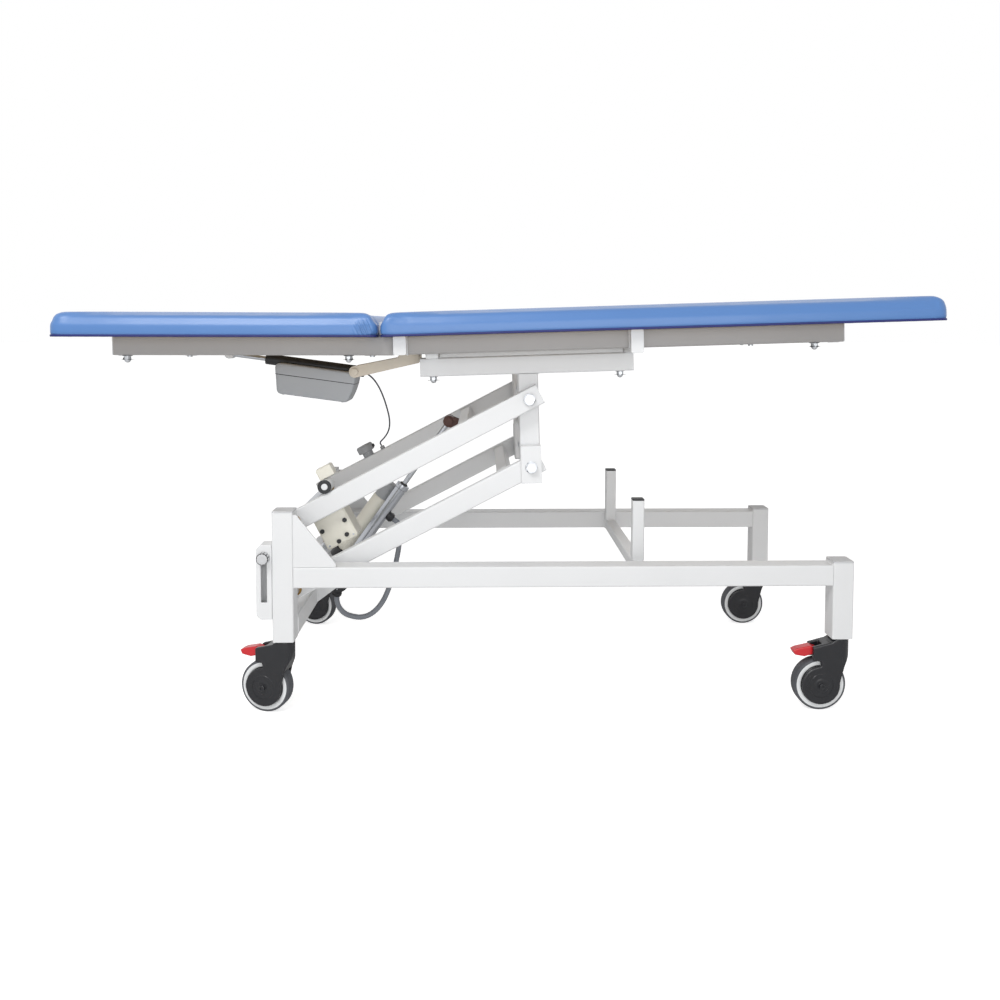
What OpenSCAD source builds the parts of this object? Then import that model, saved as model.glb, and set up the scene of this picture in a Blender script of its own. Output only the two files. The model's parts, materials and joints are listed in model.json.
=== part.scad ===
// Height-adjustable treatment table on a castor base.
// Two pairs of parallel arms lift a couch frame, and the backrest folds up at a hinge.
// X runs from the head end to the foot end, Y to the far side and Z up.
// The origin is on the floor, under the middle of the couch.

/* [Couch pads] */
// Width of both pads
pad_w = 700; // [620:10:760]
// Length of the backrest pad
back_pad_l = 732; // [700:4:780]
// Length of the seat pad
seat_pad_l = 1307; // [1240:1:1400]
// Thickness of the plywood boards
board_t = 15; // [12:1:20]
// Height of the foam over the boards
foam_t = 39; // [34:1:60]
// Rounding of the pads' upper edges
pad_edge_r = 24; // [16:1:25]
// Crown of the foam in the middle of a pad
pad_crown = 4; // [1:1:8]
// Thickness of the cover where it wraps the board
cover_t = 3; // [2:0.5:5]
// Gap between the two pads
pad_gap = 20; // [20:1:30]
// How far the lift tips the seat, foot end up
top_tilt = 1.8; // [0:0.1:3]

/* [Couch frame] */
// Outer width across the couch rails
frame_w = 600; // [570:5:640]
// Width of a couch rail
rail_w = 25; // [20:1:30]
// Height of a couch rail
rail_h = 45; // [40:1:50]
// Width of a couch cross tube
cross_w = 30; // [25:1:40]
// Height of the cross tubes that the lift beams hang from
cross_h = 57; // [52:1:65]
// How far the two open cross tubes stand out of the rails
tab_out = 25; // [10:1:40]
// Length of the seat frame
seat_frame_l = 1070; // [960:10:1200]
// Length of the backrest rails
back_frame_l = 653; // [600:1:680]
// Gap between the backrest rails and the hinge tube
frame_gap = 3; // [2:0.5:8]
// How far the seat pad reaches towards the head end of the columns' middle
seat_lead = 339.5; // [334:0.5:346]
// Distance of the hinge tube from the seat pad's end
hinge_tube_in = 21; // [20:1:24]
// Height of the backrest hinge over the pads' underside
hinge_rise = 27.5; // [26:0.5:32]
// Diameter of the backrest hinge pins
hinge_pin_d = 8; // [6:0.5:10]
// Distance of the middle cross tube from the hinge tube
mid_tube_at = 557; // [520:1:600]
// Distance of the beam cross tube from the hinge tube
beam_tube_at = 71; // [68:1:90]
// Distance of the backrest's middle cross tube from its head end
back_tube_at = 158; // [150:1:164]
// Wall of the steel tubes
tube_wall = 2; // [1.5:0.25:3]
// Outer corner radius of the steel tubes
tube_r = 4; // [3.5:0.25:5]

/* [Lift] */
// Length of an upper arm between its pivots
arm_len = 646; // [620:2:680]
// Slope of the upper arms as the table stands
arm_angle = 27.6; // [20:0.2:29]
// Height of an arm tube
arm_h = 50; // [44:1:54]
// Width of an arm tube
arm_w = 30; // [24:1:31]
// Distance between the upper and the lower pivots
pivot_gap = 165; // [160:1:180]
// How far an arm tube runs past its pivots
arm_over = 30; // [26:1:32]
// Gap between an arm and the leg beside it
arm_leg_gap = 30; // [20:1:32]
// Gap between an arm and the column beside it
arm_side_gap = 3; // [2:0.5:5]
// Width and depth of the columns
column_w = 50; // [44:1:54]
// How far the columns run below the lower pivot
column_foot = 40; // [30:1:46]
// Height of the couch rails' underside over the upper pivot
frame_rise = 119; // [112:1:140]
// Height of a lift beam
beam_h = 46; // [40:1:50]
// Length of a lift beam
beam_l = 528; // [510:1:560]
// How far a lift beam reaches towards the head end of its column's middle
beam_lead = 265.5; // [262:0.5:275]
// Diameter of the fixed shafts at the head end
shaft_d = 25; // [20:1:28]
// Diameter of the pivot bolts at the columns
bolt_d = 16; // [12:1:20]
// Outer diameter of the bushes on the fixed shafts
shaft_bush_d = 34; // [32:1:38]
// Outer diameter of the bushes on the pivot bolts
bolt_bush_d = 26; // [23:1:30]
// Play of a turning fit, on the radius
fit_play = 0.05; // [0.02:0.01:0.1]
// Play of the lower column bush, on the radius
loose_play = 0.9; // [0.6:0.1:1.4]
// Height of the cross tubes that join the arms
arm_tie_h = 40; // [30:1:44]
// Distance of the upper arms' cross tube from the head-end pivot
upper_tie_at = 470; // [466:1:500]
// Distance of the lower arms' cross tube from the head-end pivot
lower_tie_at = 580; // [540:1:590]
// Thickness of the cheeks outside the lower arms
cheek_t = 5; // [4:0.5:8]

/* [Lift actuator] */
// Distance of the actuator's foot from the head end of the base
lift_foot_in = 100; // [96:1:110]
// Height of the actuator's foot pin over the floor
lift_foot_z = 240; // [236:1:250]
// Distance of the actuator's top pin along the upper arms
lift_pin_at = 428.5; // [420:0.5:436]
// Height of the actuator's top pin over the arms' middle line
lift_pin_rise = 25; // [18:1:30]
// Diameter of the outer tube
lift_tube_d = 32; // [28:1:36]
// Length of the outer tube, with its foot, from the foot pin
lift_tube_l = 309; // [290:1:330]
// Diameter of the push rod
lift_rod_d = 14; // [10:1:18]
// Diameter of the motor
lift_motor_d = 48; // [40:1:52]
// Length of the motor
lift_motor_l = 227; // [180:1:240]
// Radius of the gear housing round the foot pin
gear_r = 38; // [32:1:40]
// Width of the gear housing
gear_w = 70; // [60:1:76]

/* [Backrest actuator] */
// Distance of the actuator's side plane from the table's middle
back_act_y = 90; // [80:1:95]
// Distance of the rear pin towards the head end of the hinge
back_pin_x = 84; // [76:1:90]
// Depth of the rear pin below the hinge
back_pin_z = 119; // [112:1:124]
// Distance of the rod pin towards the head end of the hinge
rod_pin_x = 412; // [400:1:424]
// Depth of the rod pin below the hinge
rod_pin_z = 75; // [70:1:78]
// Width of the motor housing
motor_box_w = 90; // [80:1:94]
// Length of the motor housing on its upper side
motor_box_l = 238; // [210:1:240]
// Depth of the motor housing
motor_box_h = 79; // [70:1:84]
// Diameter of the actuator's black tube
back_tube_d = 28; // [24:1:30]
// Diameter of the actuator's rod
back_rod_d = 12; // [10:1:16]

/* [Base] */
// Length of the base over its legs
base_l = 1380; // [1300:10:1440]
// Width of the base over its legs
base_w = 660; // [656:1:700]
// Side of the square legs and rails
leg_w = 50; // [46:1:52]
// Height of the rails' underside over the floor
rail_z = 305; // [296:1:310]
// Height of the head-end legs over the rails
head_leg_rise = 129; // [122:1:140]
// Height of the foot-end legs over the rails
foot_leg_rise = 5; // [3:1:12]
// Distance of the head-end pivots from the end of the base
pivot_inset = 36; // [34:1:38]
// Height of the upper head-end pivots over the floor
pivot_z = 445; // [440:1:452]
// Side of the rest posts and of the cross tube under them
post_w = 30; // [26:1:36]
// Distance of the rest posts from the head end of the base
post_at = 886; // [876:1:900]
// Height of the rest posts over the floor, with their caps
post_z = 490; // [470:1:492]
// Thickness of the plastic caps on the posts and legs
cap_t = 4; // [3:0.5:6]
// Length of a corner gusset along the rail
gusset_l = 100; // [80:1:110]
// Height of a corner gusset up the leg
gusset_h = 124; // [100:1:126]
// Thickness of the welded plates
plate_t = 6; // [4:0.5:8]

/* [Castors] */
// Diameter of the wheels
wheel_d = 125; // [110:5:130]
// Width of the wheels
wheel_w = 30; // [26:1:32]
// Diameter of the wheel centres
hub_d = 92; // [84:1:98]
// Height of the castors from floor to leg
castor_h = 176; // [172:1:186]
// Distance of the axle behind the swivel
trail = 48; // [44:1:52]
// Diameter of the axles
axle_d = 10; // [8:1:12]
// Width of the forks
fork_w = 46; // [44:1:50]
// Diameter of the swivel stems
stem_d = 12; // [10:1:14]

/* [Hidden] */

// Overrun of a cutting solid past the face that it cuts
over = 1;
// Number of flats in a quarter of a tube's rounded corner
corner_n = 4;
// Gap that keeps two bodies apart side by side
slip = 0.3;
// Fit-up gap at a welded butt joint
weld_gap = 0.2;
$fn = 48;

steel_white = "whitesmoke";
vinyl_blue = "royalblue";
dark = "dimgray";

// Places that follow from the sizes above
tilt_c = cos(top_tilt);
tilt_s = sin(top_tilt);
pivot_low_z = pivot_z - pivot_gap;
pad_h = board_t + foam_t;
pad_z = frame_rise + rail_h;
seat_x0 = -seat_lead;
seat_x1 = seat_x0 + seat_pad_l;
hinge_x = seat_x0 - pad_gap / 2;
hinge_z = pad_z + hinge_rise;
hinge_tube_x = seat_x0 + hinge_tube_in;
column_run = arm_len * cos(arm_angle);
column_climb = arm_len * sin(arm_angle);

// Ends of the couch, measured from the head end of the base
head_end = pivot_inset + column_run + hinge_x * tilt_c - hinge_z * tilt_s - pad_gap / 2 - back_pad_l;
foot_end = pivot_inset + column_run + seat_x1 * tilt_c - pad_z * tilt_s;
base_x = -(head_end + foot_end) / 2;
pivot_x = base_x + pivot_inset;
top_x = pivot_x + column_run;
top_z = pivot_z + column_climb;
world_hinge_x = top_x + hinge_x * tilt_c - hinge_z * tilt_s;
world_hinge_z = top_z + hinge_x * tilt_s + hinge_z * tilt_c;

// Lower arms, from the head-end pivot to the tilted column
low_dx = column_run + pivot_gap * tilt_s;
low_dz = column_climb + pivot_gap - pivot_gap * tilt_c;
low_len = sqrt(low_dx * low_dx + low_dz * low_dz);
low_angle = atan2(low_dz, low_dx);

// Sideways places, from the legs inwards
arms_out = base_w - 2 * (leg_w + arm_leg_gap);
arm_y = (arms_out - arm_w) / 2;
column_y = arms_out / 2 - arm_w - arm_side_gap - column_w / 2;
column_in = column_y - column_w / 2;
column_out = column_y + column_w / 2;
leg_y = (base_w - leg_w) / 2;
leg_in = base_w / 2 - leg_w;
rail_y = (frame_w - rail_w) / 2;
rail_in = frame_w / 2 - rail_w;
rail_top = rail_z + leg_w;

// Lift actuator, from its foot pin to its top pin
lift_x = base_x + lift_foot_in;
lift_top_x = pivot_x + lift_pin_at * cos(arm_angle) - lift_pin_rise * sin(arm_angle);
lift_top_z = pivot_z + lift_pin_at * sin(arm_angle) + lift_pin_rise * cos(arm_angle);
lift_a = atan2(lift_top_z - lift_foot_z, lift_top_x - lift_x);
lift_l = sqrt(pow(lift_top_x - lift_x, 2) + pow(lift_top_z - lift_foot_z, 2));

// Backrest actuator, from its rear pin to its rod pin
bpin_x = world_hinge_x - back_pin_x;
bpin_z = world_hinge_z - back_pin_z;
bact_a = atan2(back_pin_z - rod_pin_z, rod_pin_x - back_pin_x);
bact_l = sqrt(pow(rod_pin_x - back_pin_x, 2) + pow(back_pin_z - rod_pin_z, 2));

// Shared shapes

function arc_points(cx, cy, r, a0, a1, n) =
    [for (i = [0 : n]) [cx + r * cos(a0 + (a1 - a0) * i / n), cy + r * sin(a0 + (a1 - a0) * i / n)]];

function round_rect(w, h, r, n) = concat(
    arc_points(w / 2 - r, h / 2 - r, r, 0, 90, n),
    arc_points(r - w / 2, h / 2 - r, r, 90, 180, n),
    arc_points(r - w / 2, r - h / 2, r, 180, 270, n),
    arc_points(w / 2 - r, r - h / 2, r, 270, 360, n)
);

// Section of a steel tube, w wide and h high
module tube_section(w, h) {
    difference() {
        polygon(round_rect(w, h, tube_r, corner_n));
        polygon(round_rect(w - 2 * tube_wall, h - 2 * tube_wall, tube_r - tube_wall / 2, corner_n));
    }
}

// Tubes along each axis, by their two ends and their middle line
module tube_x(x0, x1, y, z, w, h) {
    translate([x0, y, z]) rotate([90, 0, 90]) linear_extrude(x1 - x0) tube_section(w, h);
}

module tube_y(y0, y1, x, z, w, h) {
    translate([x, y1, z]) rotate([90, 0, 0]) linear_extrude(y1 - y0) tube_section(w, h);
}

module tube_z(z0, z1, x, y, w, h) {
    translate([x, y, z0]) linear_extrude(z1 - z0) tube_section(w, h);
}

// Plate that closes a tube along X at the place x, t thick
module end_plate_x(x, y, z, w, h, t) {
    translate([x, y, z]) rotate([90, 0, 90]) linear_extrude(t) polygon(round_rect(w, h, tube_r, corner_n));
}

// Square tube along Y out to both sides, its ends closed by plates
module closed_tube_y(out, x, z, w, h) {
    tube_y(tube_wall - out, out - tube_wall, x, z, w, h);
    for (y = [-out, out - tube_wall]) translate([x, y, z]) rotate([90, 0, 0])
        translate([0, 0, -tube_wall]) linear_extrude(tube_wall) polygon(round_rect(w, h, tube_r, corner_n));
}

// Rod along Y between two places, on the middle line x, z
module rod_y(y0, y1, x, z, d) {
    translate([x, y1, z]) rotate([90, 0, 0]) cylinder(h = y1 - y0, d = d);
}

// Hexagon head along Y, over its flats
module hex_y(y0, y1, x, z, flats) {
    translate([x, y1, z]) rotate([90, 0, 0]) cylinder(h = y1 - y0, d = flats / cos(30), $fn = 6);
}

// Plate in the X-Z plane between two places along Y
module plate_y(y0, y1) {
    translate([0, y1, 0]) rotate([90, 0, 0]) linear_extrude(y1 - y0) children();
}

// Copies on both sides of the table
module both_sides() {
    for (side = [0, 1]) mirror([0, side, 0]) children();
}

// Frames of the moving parts
module in_carriage() {
    translate([top_x, 0, top_z]) rotate([0, -top_tilt, 0]) children();
}

module in_upper_arms() {
    translate([pivot_x, 0, pivot_z]) rotate([0, -arm_angle, 0]) children();
}

module in_lower_arms() {
    translate([pivot_x, 0, pivot_low_z]) rotate([0, -low_angle, 0]) children();
}

module at_hinge() {
    translate([world_hinge_x, 0, world_hinge_z]) children();
}

module in_lift() {
    translate([lift_x, 0, lift_foot_z]) rotate([0, -lift_a, 0]) children();
}

// Along the backrest actuator, X runs from the rod to the rear pin
module in_back_actuator() {
    translate([bpin_x, -back_act_y, bpin_z]) rotate([0, bact_a, 0]) children();
}

// Base frame

module base_legs() color(steel_white) {
    head_top = rail_top + head_leg_rise;
    both_sides() {
        tube_z(castor_h, head_top, base_x + leg_w / 2, leg_y, leg_w, leg_w);
        tube_z(castor_h, rail_top + foot_leg_rise, base_x + base_l - leg_w / 2, leg_y, leg_w, leg_w);
    }
}

module side_rails() color(steel_white) {
    both_sides()
        tube_x(base_x + leg_w, base_x + base_l - leg_w, leg_y, rail_z + leg_w / 2, leg_w, leg_w);
}

module base_cross_tubes() color(steel_white) {
    tube_y(-leg_in, leg_in, base_x + leg_w / 2, castor_h + leg_w / 2, leg_w, leg_w);
    tube_y(-leg_in, leg_in, base_x + post_at, rail_z + post_w / 2, post_w, post_w);
}

// The near post stands under the lift beam, the far one at the rail
function post_places() = [-column_y, leg_in - post_w / 2];

module rest_posts() color(steel_white) {
    for (y = post_places())
        tube_z(rail_z + post_w, post_z - cap_t, base_x + post_at, y, post_w, post_w);
}

// A plastic cap with a plug that goes into the tube's end
module tube_cap(x, y, z, w) {
    plug_play = 0.2;
    plug_l = 12;
    translate([x, y, z]) {
        linear_extrude(cap_t) polygon(round_rect(w, w, tube_r, corner_n));
        translate([0, 0, -plug_l])
            linear_extrude(plug_l)
                polygon(round_rect(w - 2 * (tube_wall + plug_play), w - 2 * (tube_wall + plug_play),
                                   tube_r - tube_wall / 2, corner_n));
    }
}

module tube_caps() color(dark) {
    for (y = post_places()) tube_cap(base_x + post_at, y, post_z - cap_t, post_w);
    both_sides() {
        tube_cap(base_x + leg_w / 2, leg_y, rail_top + head_leg_rise, leg_w);
        tube_cap(base_x + base_l - leg_w / 2, leg_y, rail_top + foot_leg_rise, leg_w);
    }
}

// Plates welded on at the head end: gussets in the corners, ears for the lift actuator's foot
module base_plates() color(steel_white) {
    corner_gussets();
    lift_foot_ears();
}

module corner_gussets() {
    x0 = base_x + leg_w;
    toe = 8;
    both_sides()
        plate_y(base_w / 2 - plate_t, base_w / 2)
            polygon([[x0, rail_top], [x0 + gusset_l, rail_top], [x0 + gusset_l, rail_top + toe],
                     [x0 + toe, rail_top + gusset_h], [x0, rail_top + gusset_h]]);
}

// Two shafts between the head-end legs, and the pin of the lift actuator's foot
module pivot_shafts() color("silver") {
    for (z = [pivot_z, pivot_low_z]) rod_y(-leg_in, leg_in, pivot_x, z, shaft_d);
    reach = gear_w / 2 + slip + plate_t + foot_pin_out;
    rod_y(-reach, reach, lift_x, lift_foot_z, foot_pin_d);
}
foot_pin_d = 14;
foot_pin_out = 6;

module lift_foot_ears() {
    ear_r = 18;
    x0 = base_x + leg_w;
    z0 = castor_h + tube_r;
    z1 = castor_h + leg_w - tube_r;
    both_sides()
        plate_y(gear_w / 2 + slip, gear_w / 2 + slip + plate_t)
            difference() {
                union() {
                    translate([lift_x, lift_foot_z]) circle(r = ear_r);
                    polygon([[x0, z0], [lift_x + ear_r * sin(lift_ear_a), lift_foot_z - ear_r * cos(lift_ear_a)],
                             [lift_x - ear_r * sin(lift_ear_a), lift_foot_z + ear_r * cos(lift_ear_a)], [x0, z1]]);
                }
                translate([lift_x, lift_foot_z]) circle(d = foot_pin_d);
            }
}
lift_ear_a = 42;

// Stems that the forks turn on, in plugs inside the legs
module castor_stems() color("silver") {
    plug_l = 40;
    plug_play = 0.2;
    for (place = castor_places()) translate([place[0], place[1], 0]) {
        translate([0, 0, castor_h - stem_down]) cylinder(h = stem_down + plug_l, d = stem_d);
        translate([0, 0, castor_h])
            linear_extrude(plug_l)
                polygon(round_rect(leg_w - 2 * (tube_wall + plug_play), leg_w - 2 * (tube_wall + plug_play),
                                   tube_r - tube_wall / 2, corner_n));
    }
}
stem_down = 26;

// Guide at the outside of the near head-end leg, with the slot that its knob slides in
slide_w = 37;
slide_d = 40;
slide_z0 = 231;
slide_z1 = 409;
slot_w = 14;
slot_z0 = 272;
slot_z1 = 386;
slide_wall = 3;

module slide_bracket() color(steel_white) {
    cut = 10;
    x0 = base_x - slide_w;
    x1 = base_x;
    y0 = -base_w / 2;
    difference() {
        plate_y(y0, y0 + slide_d)
            polygon([[x1, slide_z0], [x1, slide_z1], [x0 + cut, slide_z1], [x0, slide_z1 - cut],
                     [x0, slide_z0 + cut], [x0 + cut, slide_z0]]);
        translate([x0 + slide_wall, y0 + slide_wall, slot_z0 - cut])
            cube([slide_w - 2 * slide_wall, slide_d - 2 * slide_wall, slot_z1 - slot_z0 + 2 * cut]);
        translate([base_x - slide_w / 2 - slot_w / 2, y0 - over, slot_z0])
            cube([slot_w, slide_wall + 2 * over, slot_z1 - slot_z0]);
    }
}

module slide_knob() color(dark) {
    block_h = 24;
    knob_d = 28;
    knob_l = 16;
    x = base_x - slide_w / 2;
    z = slot_z1 - slot_w / 2 - slip;
    y = -base_w / 2;
    block_w = slide_w - 2 * slide_wall - 2 * slip;
    translate([x - block_w / 2, y + slide_wall + slip, z - block_h / 2])
        cube([block_w, slide_d - 2 * slide_wall - 2 * slip, block_h]);
    rod_y(y - slip, y + slide_wall + 2 * slip, x, z, slot_w - 2 * slip);
    rod_y(y - knob_l, y - slip, x, z, knob_d);
}

// Lift arms

// One pair of arm tubes with a cross tube, in the arms' own frame
module arm_pair(length, tie_at) {
    both_sides() difference() {
        union() {
            tube_x(-arm_over + tube_wall, length + arm_over - tube_wall, arm_y, 0, arm_w, arm_h);
            end_plate_x(-arm_over, arm_y, 0, arm_w, arm_h, tube_wall);
            end_plate_x(length + arm_over - tube_wall, arm_y, 0, arm_w, arm_h, tube_wall);
        }
        rod_y(arm_y - arm_w, arm_y + arm_w, 0, 0, shaft_bush_d);
        rod_y(arm_y - arm_w, arm_y + arm_w, length, 0, bolt_bush_d);
    }
    tie = arm_y - arm_w / 2 - weld_gap;
    tube_y(-tie, tie, tie_at, 0, cross_w, arm_tie_h);
}

// Bushes that stand a little out of both sides of each arm
module arm_bushes(length, bolt_bore) {
    lip = 1;
    y0 = arm_y - arm_w / 2 - lip;
    y1 = arm_y + arm_w / 2 + lip;
    both_sides() {
        difference() {
            rod_y(y0, y1, 0, 0, shaft_bush_d);
            rod_y(y0 - over, y1 + over, 0, 0, shaft_d + 2 * fit_play);
        }
        difference() {
            rod_y(y0, y1, length, 0, bolt_bush_d);
            rod_y(y0 - over, y1 + over, length, 0, bolt_bore);
        }
    }
}

module upper_arms() color(steel_white) in_upper_arms() arm_pair(arm_len, upper_tie_at);
module upper_bushes() color("darkgoldenrod") in_upper_arms() arm_bushes(arm_len, bolt_d + 2 * fit_play);
module lower_arms() color(steel_white) in_lower_arms() arm_pair(low_len, lower_tie_at);
module lower_bushes() color("darkgoldenrod") in_lower_arms() arm_bushes(low_len, bolt_d + 2 * loose_play);

// Ears on the upper cross tube, either side of the lift rod's eye
eye_w = 20;
eye_d = 30;
ear_t = 6;

module rod_bracket() color("saddlebrown") in_upper_arms() {
    ear_r = 16;
    head_d = 20;
    head_t = 7;
    face = upper_tie_at - cross_w / 2;
    low = arm_tie_h / 2 - tube_r;
    both_sides() {
        plate_y(eye_w / 2 + slip, eye_w / 2 + slip + ear_t)
            union() {
                translate([lift_pin_at, lift_pin_rise]) circle(r = ear_r);
                polygon([[face, -low], [face, low], [lift_pin_at + ear_r / 2, lift_pin_rise + ear_r * cos(30)],
                         [lift_pin_at - ear_r / 2, lift_pin_rise - ear_r * cos(30)]]);
            }
        hex_y(eye_w / 2 + slip + ear_t, eye_w / 2 + slip + ear_t + head_t, lift_pin_at, lift_pin_rise, head_d);
    }
}

// Round stub across the top of the near arm, with a black ring over its outer end
guide_d = 34;
guide_l = 45;
guide_at = 106;
guide_ring_t = 4;
guide_core_d = 16;

module guide_stub() color(steel_white) in_upper_arms() {
    z = (arm_h + guide_d) / 2;
    y = -arms_out / 2;
    rod_y(y, y + guide_l, guide_at, z, guide_d);
    rod_y(y - guide_ring_t, y, guide_at, z, guide_core_d);
}

module guide_ring() {
    z = (arm_h + guide_d) / 2;
    y = -arms_out / 2;
    difference() {
        rod_y(y - guide_ring_t, y, guide_at, z, guide_d);
        rod_y(y - guide_ring_t - over, y + over, guide_at, z, guide_core_d + 2 * fit_play);
    }
}

// Junction box on the near arm, and the capped boss and the lead's grommet on the far arm
boss_at = 148;
grommet_at = 195;
grommet_h = 9;

module arm_fittings() color("ivory") in_upper_arms() {
    box_l = 40;
    box_w = 35;
    box_h = 26;
    box_r = 3;
    box_back = 4;
    neck_d = 32;
    neck_h = 14;
    boss_d = 50;
    boss_h = 20;
    grommet_d = 14;
    seat = arm_h / 2;
    translate([guide_at + box_l / 2 - box_back, box_w / 2 - arms_out / 2 + box_r, seat + guide_d])
        linear_extrude(box_h) polygon(round_rect(box_l, box_w, box_r, corner_n));
    translate([boss_at, arm_y, seat]) {
        cylinder(h = neck_h, d = neck_d);
        translate([0, 0, neck_h]) cylinder(h = boss_h, d = boss_d);
    }
    translate([grommet_at, arm_y, seat]) cylinder(h = grommet_h, d = grommet_d);
}

// Control box on the near upper arm's inner side, hanging below it
box_at = 32;
box_len = 84;
box_up = 8;
box_down = 106;
box_deep = 66;

module control_box() color("cornsilk") in_upper_arms() {
    edge = 5;
    plate_y(arm_w / 2 - arm_y, arm_w / 2 - arm_y + box_deep)
        translate([box_at + box_len / 2, (box_up - box_down) / 2])
            polygon(round_rect(box_len, box_up + box_down, edge, corner_n));
}

// Black plugs on the outer face of the control box, and the ring on the round stub
plug_places_share = [[0.12, 0.62], [0.86, 0.62], [0.42, 0.12], [0.72, 0.2]];

module black_plugs() color(dark) in_upper_arms() {
    guide_ring();
    plug_d = 11;
    plug_l = 7;
    y = arm_w / 2 - arm_y;
    for (p = plug_places_share)
        rod_y(y - plug_l, y, box_at + p[0] * box_len, p[1] * (box_down - arm_h / 2) - box_down, plug_d);
}

// Carriage: columns, lift beams and seat frame

module carriage_columns() color(steel_white) in_carriage() {
    tie_h = 40;
    tie_z = -pivot_gap / 2;
    both_sides() difference() {
        union() {
            tube_z(-pivot_gap - column_foot, pad_z - cross_h - beam_h, 0, column_y, column_w, column_w);
            pivot_cheek();
        }
        for (z = [0, -pivot_gap]) rod_y(column_in - over, column_out + over, 0, z, bolt_d);
        rod_y(column_out, column_out + column_w, 0, -pivot_gap, bolt_d);
    }
    tube_y(weld_gap - column_in, column_in - weld_gap, 0, tie_z, cross_w, tie_h);
}

// Cheek that holds the outer end of a lower bolt, hung from a shelf on the column
module pivot_cheek() {
    shelf_z = 47;
    y0 = arms_out / 2 + arm_side_gap;
    y1 = y0 + cheek_t;
    translate([-column_w / 2, y0, -pivot_gap - column_foot]) cube([column_w, cheek_t, column_foot + shelf_z]);
    translate([-column_w / 2, column_out, -pivot_gap + shelf_z]) cube([column_w, y1 - column_out, cheek_t]);
}

module lift_beams() color(steel_white) in_carriage() {
    z = pad_z - cross_h - beam_h / 2;
    x0 = -beam_lead;
    both_sides() {
        tube_x(x0 + tube_wall, x0 + beam_l - tube_wall, column_y, z, column_w, beam_h);
        end_plate_x(x0, column_y, z, column_w, beam_h, tube_wall);
        end_plate_x(x0 + beam_l - tube_wall, column_y, z, column_w, beam_h, tube_wall);
    }
}

// Bolts through the columns: the upper two carry the upper arms, the lower two the cheeks too
module pivot_bolts() color("silver") in_carriage() {
    flats = 24;
    head_t = 9;
    washer_t = 2;
    washer_d = 30;
    gaps = [arm_side_gap, cheek_t + arm_side_gap];
    both_sides() for (i = [0, 1]) {
        z = -i * pivot_gap;
        y1 = arms_out / 2 + gaps[i];
        rod_y(column_in - head_t - washer_t, y1 + washer_t, 0, z, bolt_d);
        rod_y(y1, y1 + washer_t, 0, z, washer_d);
        hex_y(y1 + washer_t, y1 + washer_t + head_t, 0, z, flats);
        rod_y(column_in - washer_t, column_in, 0, z, washer_d);
        hex_y(column_in - washer_t - head_t, column_in - washer_t, 0, z, flats);
    }
}

module seat_rails() color(steel_white) in_carriage() {
    z = pad_z - rail_h / 2;
    mid = hinge_tube_x + mid_tube_at;
    both_sides() {
        tube_x(hinge_tube_x + cross_w, mid, rail_y, z, rail_w, rail_h);
        tube_x(mid + cross_w, hinge_tube_x + seat_frame_l, rail_y, z, rail_w, rail_h);
    }
}

// Hinge tube and middle tube stand out of the rails, the other two lie between them
module seat_cross_tubes() color(steel_white) in_carriage() {
    out = frame_w / 2 + tab_out;
    low_z = pad_z - cross_h / 2;
    high_z = pad_z - rail_h / 2;
    closed_tube_y(out, hinge_tube_x + cross_w / 2, high_z, cross_w, rail_h);
    closed_tube_y(out, hinge_tube_x + mid_tube_at + cross_w / 2, low_z, cross_w, cross_h);
    tube_y(-rail_in, rail_in, hinge_tube_x + beam_tube_at + cross_w / 2, low_z, cross_w, cross_h);
    tube_y(-rail_in, rail_in, hinge_tube_x + seat_frame_l - cross_w / 2, high_z, cross_w, rail_h);
}

module board(length) {
    w = pad_w - 2 * cover_t;
    translate([cover_t, -w / 2, 0]) cube([length - 2 * cover_t, w, board_t]);
}

// Upholstered pad: rings of a rounded rectangle that draw in at the foot, round over
// at the top and rise to a crown, closed by a point in the middle
corner_r = 34;
ring_n = 7;
crown_n = 5;
side_draw = 1.5;

function pad_ring(length, inset, z) =
    [for (p = round_rect(length - 2 * inset, pad_w - 2 * inset, corner_r - inset / 2, ring_n))
        [p[0] + length / 2, p[1], z]];

function crown_ring(length, share, z) =
    [for (p = round_rect(length - 2 * pad_edge_r, pad_w - 2 * pad_edge_r, corner_r - pad_edge_r / 2, ring_n))
        [p[0] * share + length / 2, p[1] * share, z]];

function pad_rings(length) = concat(
    [pad_ring(length, side_draw, 0)],
    [for (i = [1 : 2]) pad_ring(length, side_draw * (1 - i / 2), (pad_h - pad_crown - pad_edge_r) * i / 2)],
    [for (i = [1 : ring_n])
        pad_ring(length, pad_edge_r * (1 - cos(90 * i / ring_n)),
                 pad_h - pad_crown - pad_edge_r * (1 - sin(90 * i / ring_n)))],
    [for (i = [1 : crown_n])
        crown_ring(length, 1 - i / (crown_n + 1), pad_h - pad_crown * pow(1 - i / (crown_n + 1), 3))]
);

module pad_form(length) {
    rings = pad_rings(length);
    n = len(rings[0]);
    m = len(rings);
    points = concat([for (r = rings) each r], [[length / 2, 0, 0], [length / 2, 0, pad_h]]);
    low = n * m;
    faces = concat(
        [for (i = [0 : n - 1]) [low, i, (i + 1) % n]],
        [for (k = [0 : m - 2]) for (i = [0 : n - 1])
            [k * n + i, (k + 1) * n + i, (k + 1) * n + (i + 1) % n]],
        [for (k = [0 : m - 2]) for (i = [0 : n - 1])
            [k * n + i, (k + 1) * n + (i + 1) % n, k * n + (i + 1) % n]],
        [for (i = [0 : n - 1]) [low + 1, (m - 1) * n + (i + 1) % n, (m - 1) * n + i]]
    );
    difference() {
        polyhedron(points = points, faces = faces);
        translate([0, 0, -over]) pocket(length);
    }
}

// Hollow under the foam that the board fills
module pocket(length) {
    w = pad_w - 2 * cover_t;
    translate([cover_t, -w / 2, 0]) cube([length - 2 * cover_t, w, board_t + over]);
}

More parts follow.
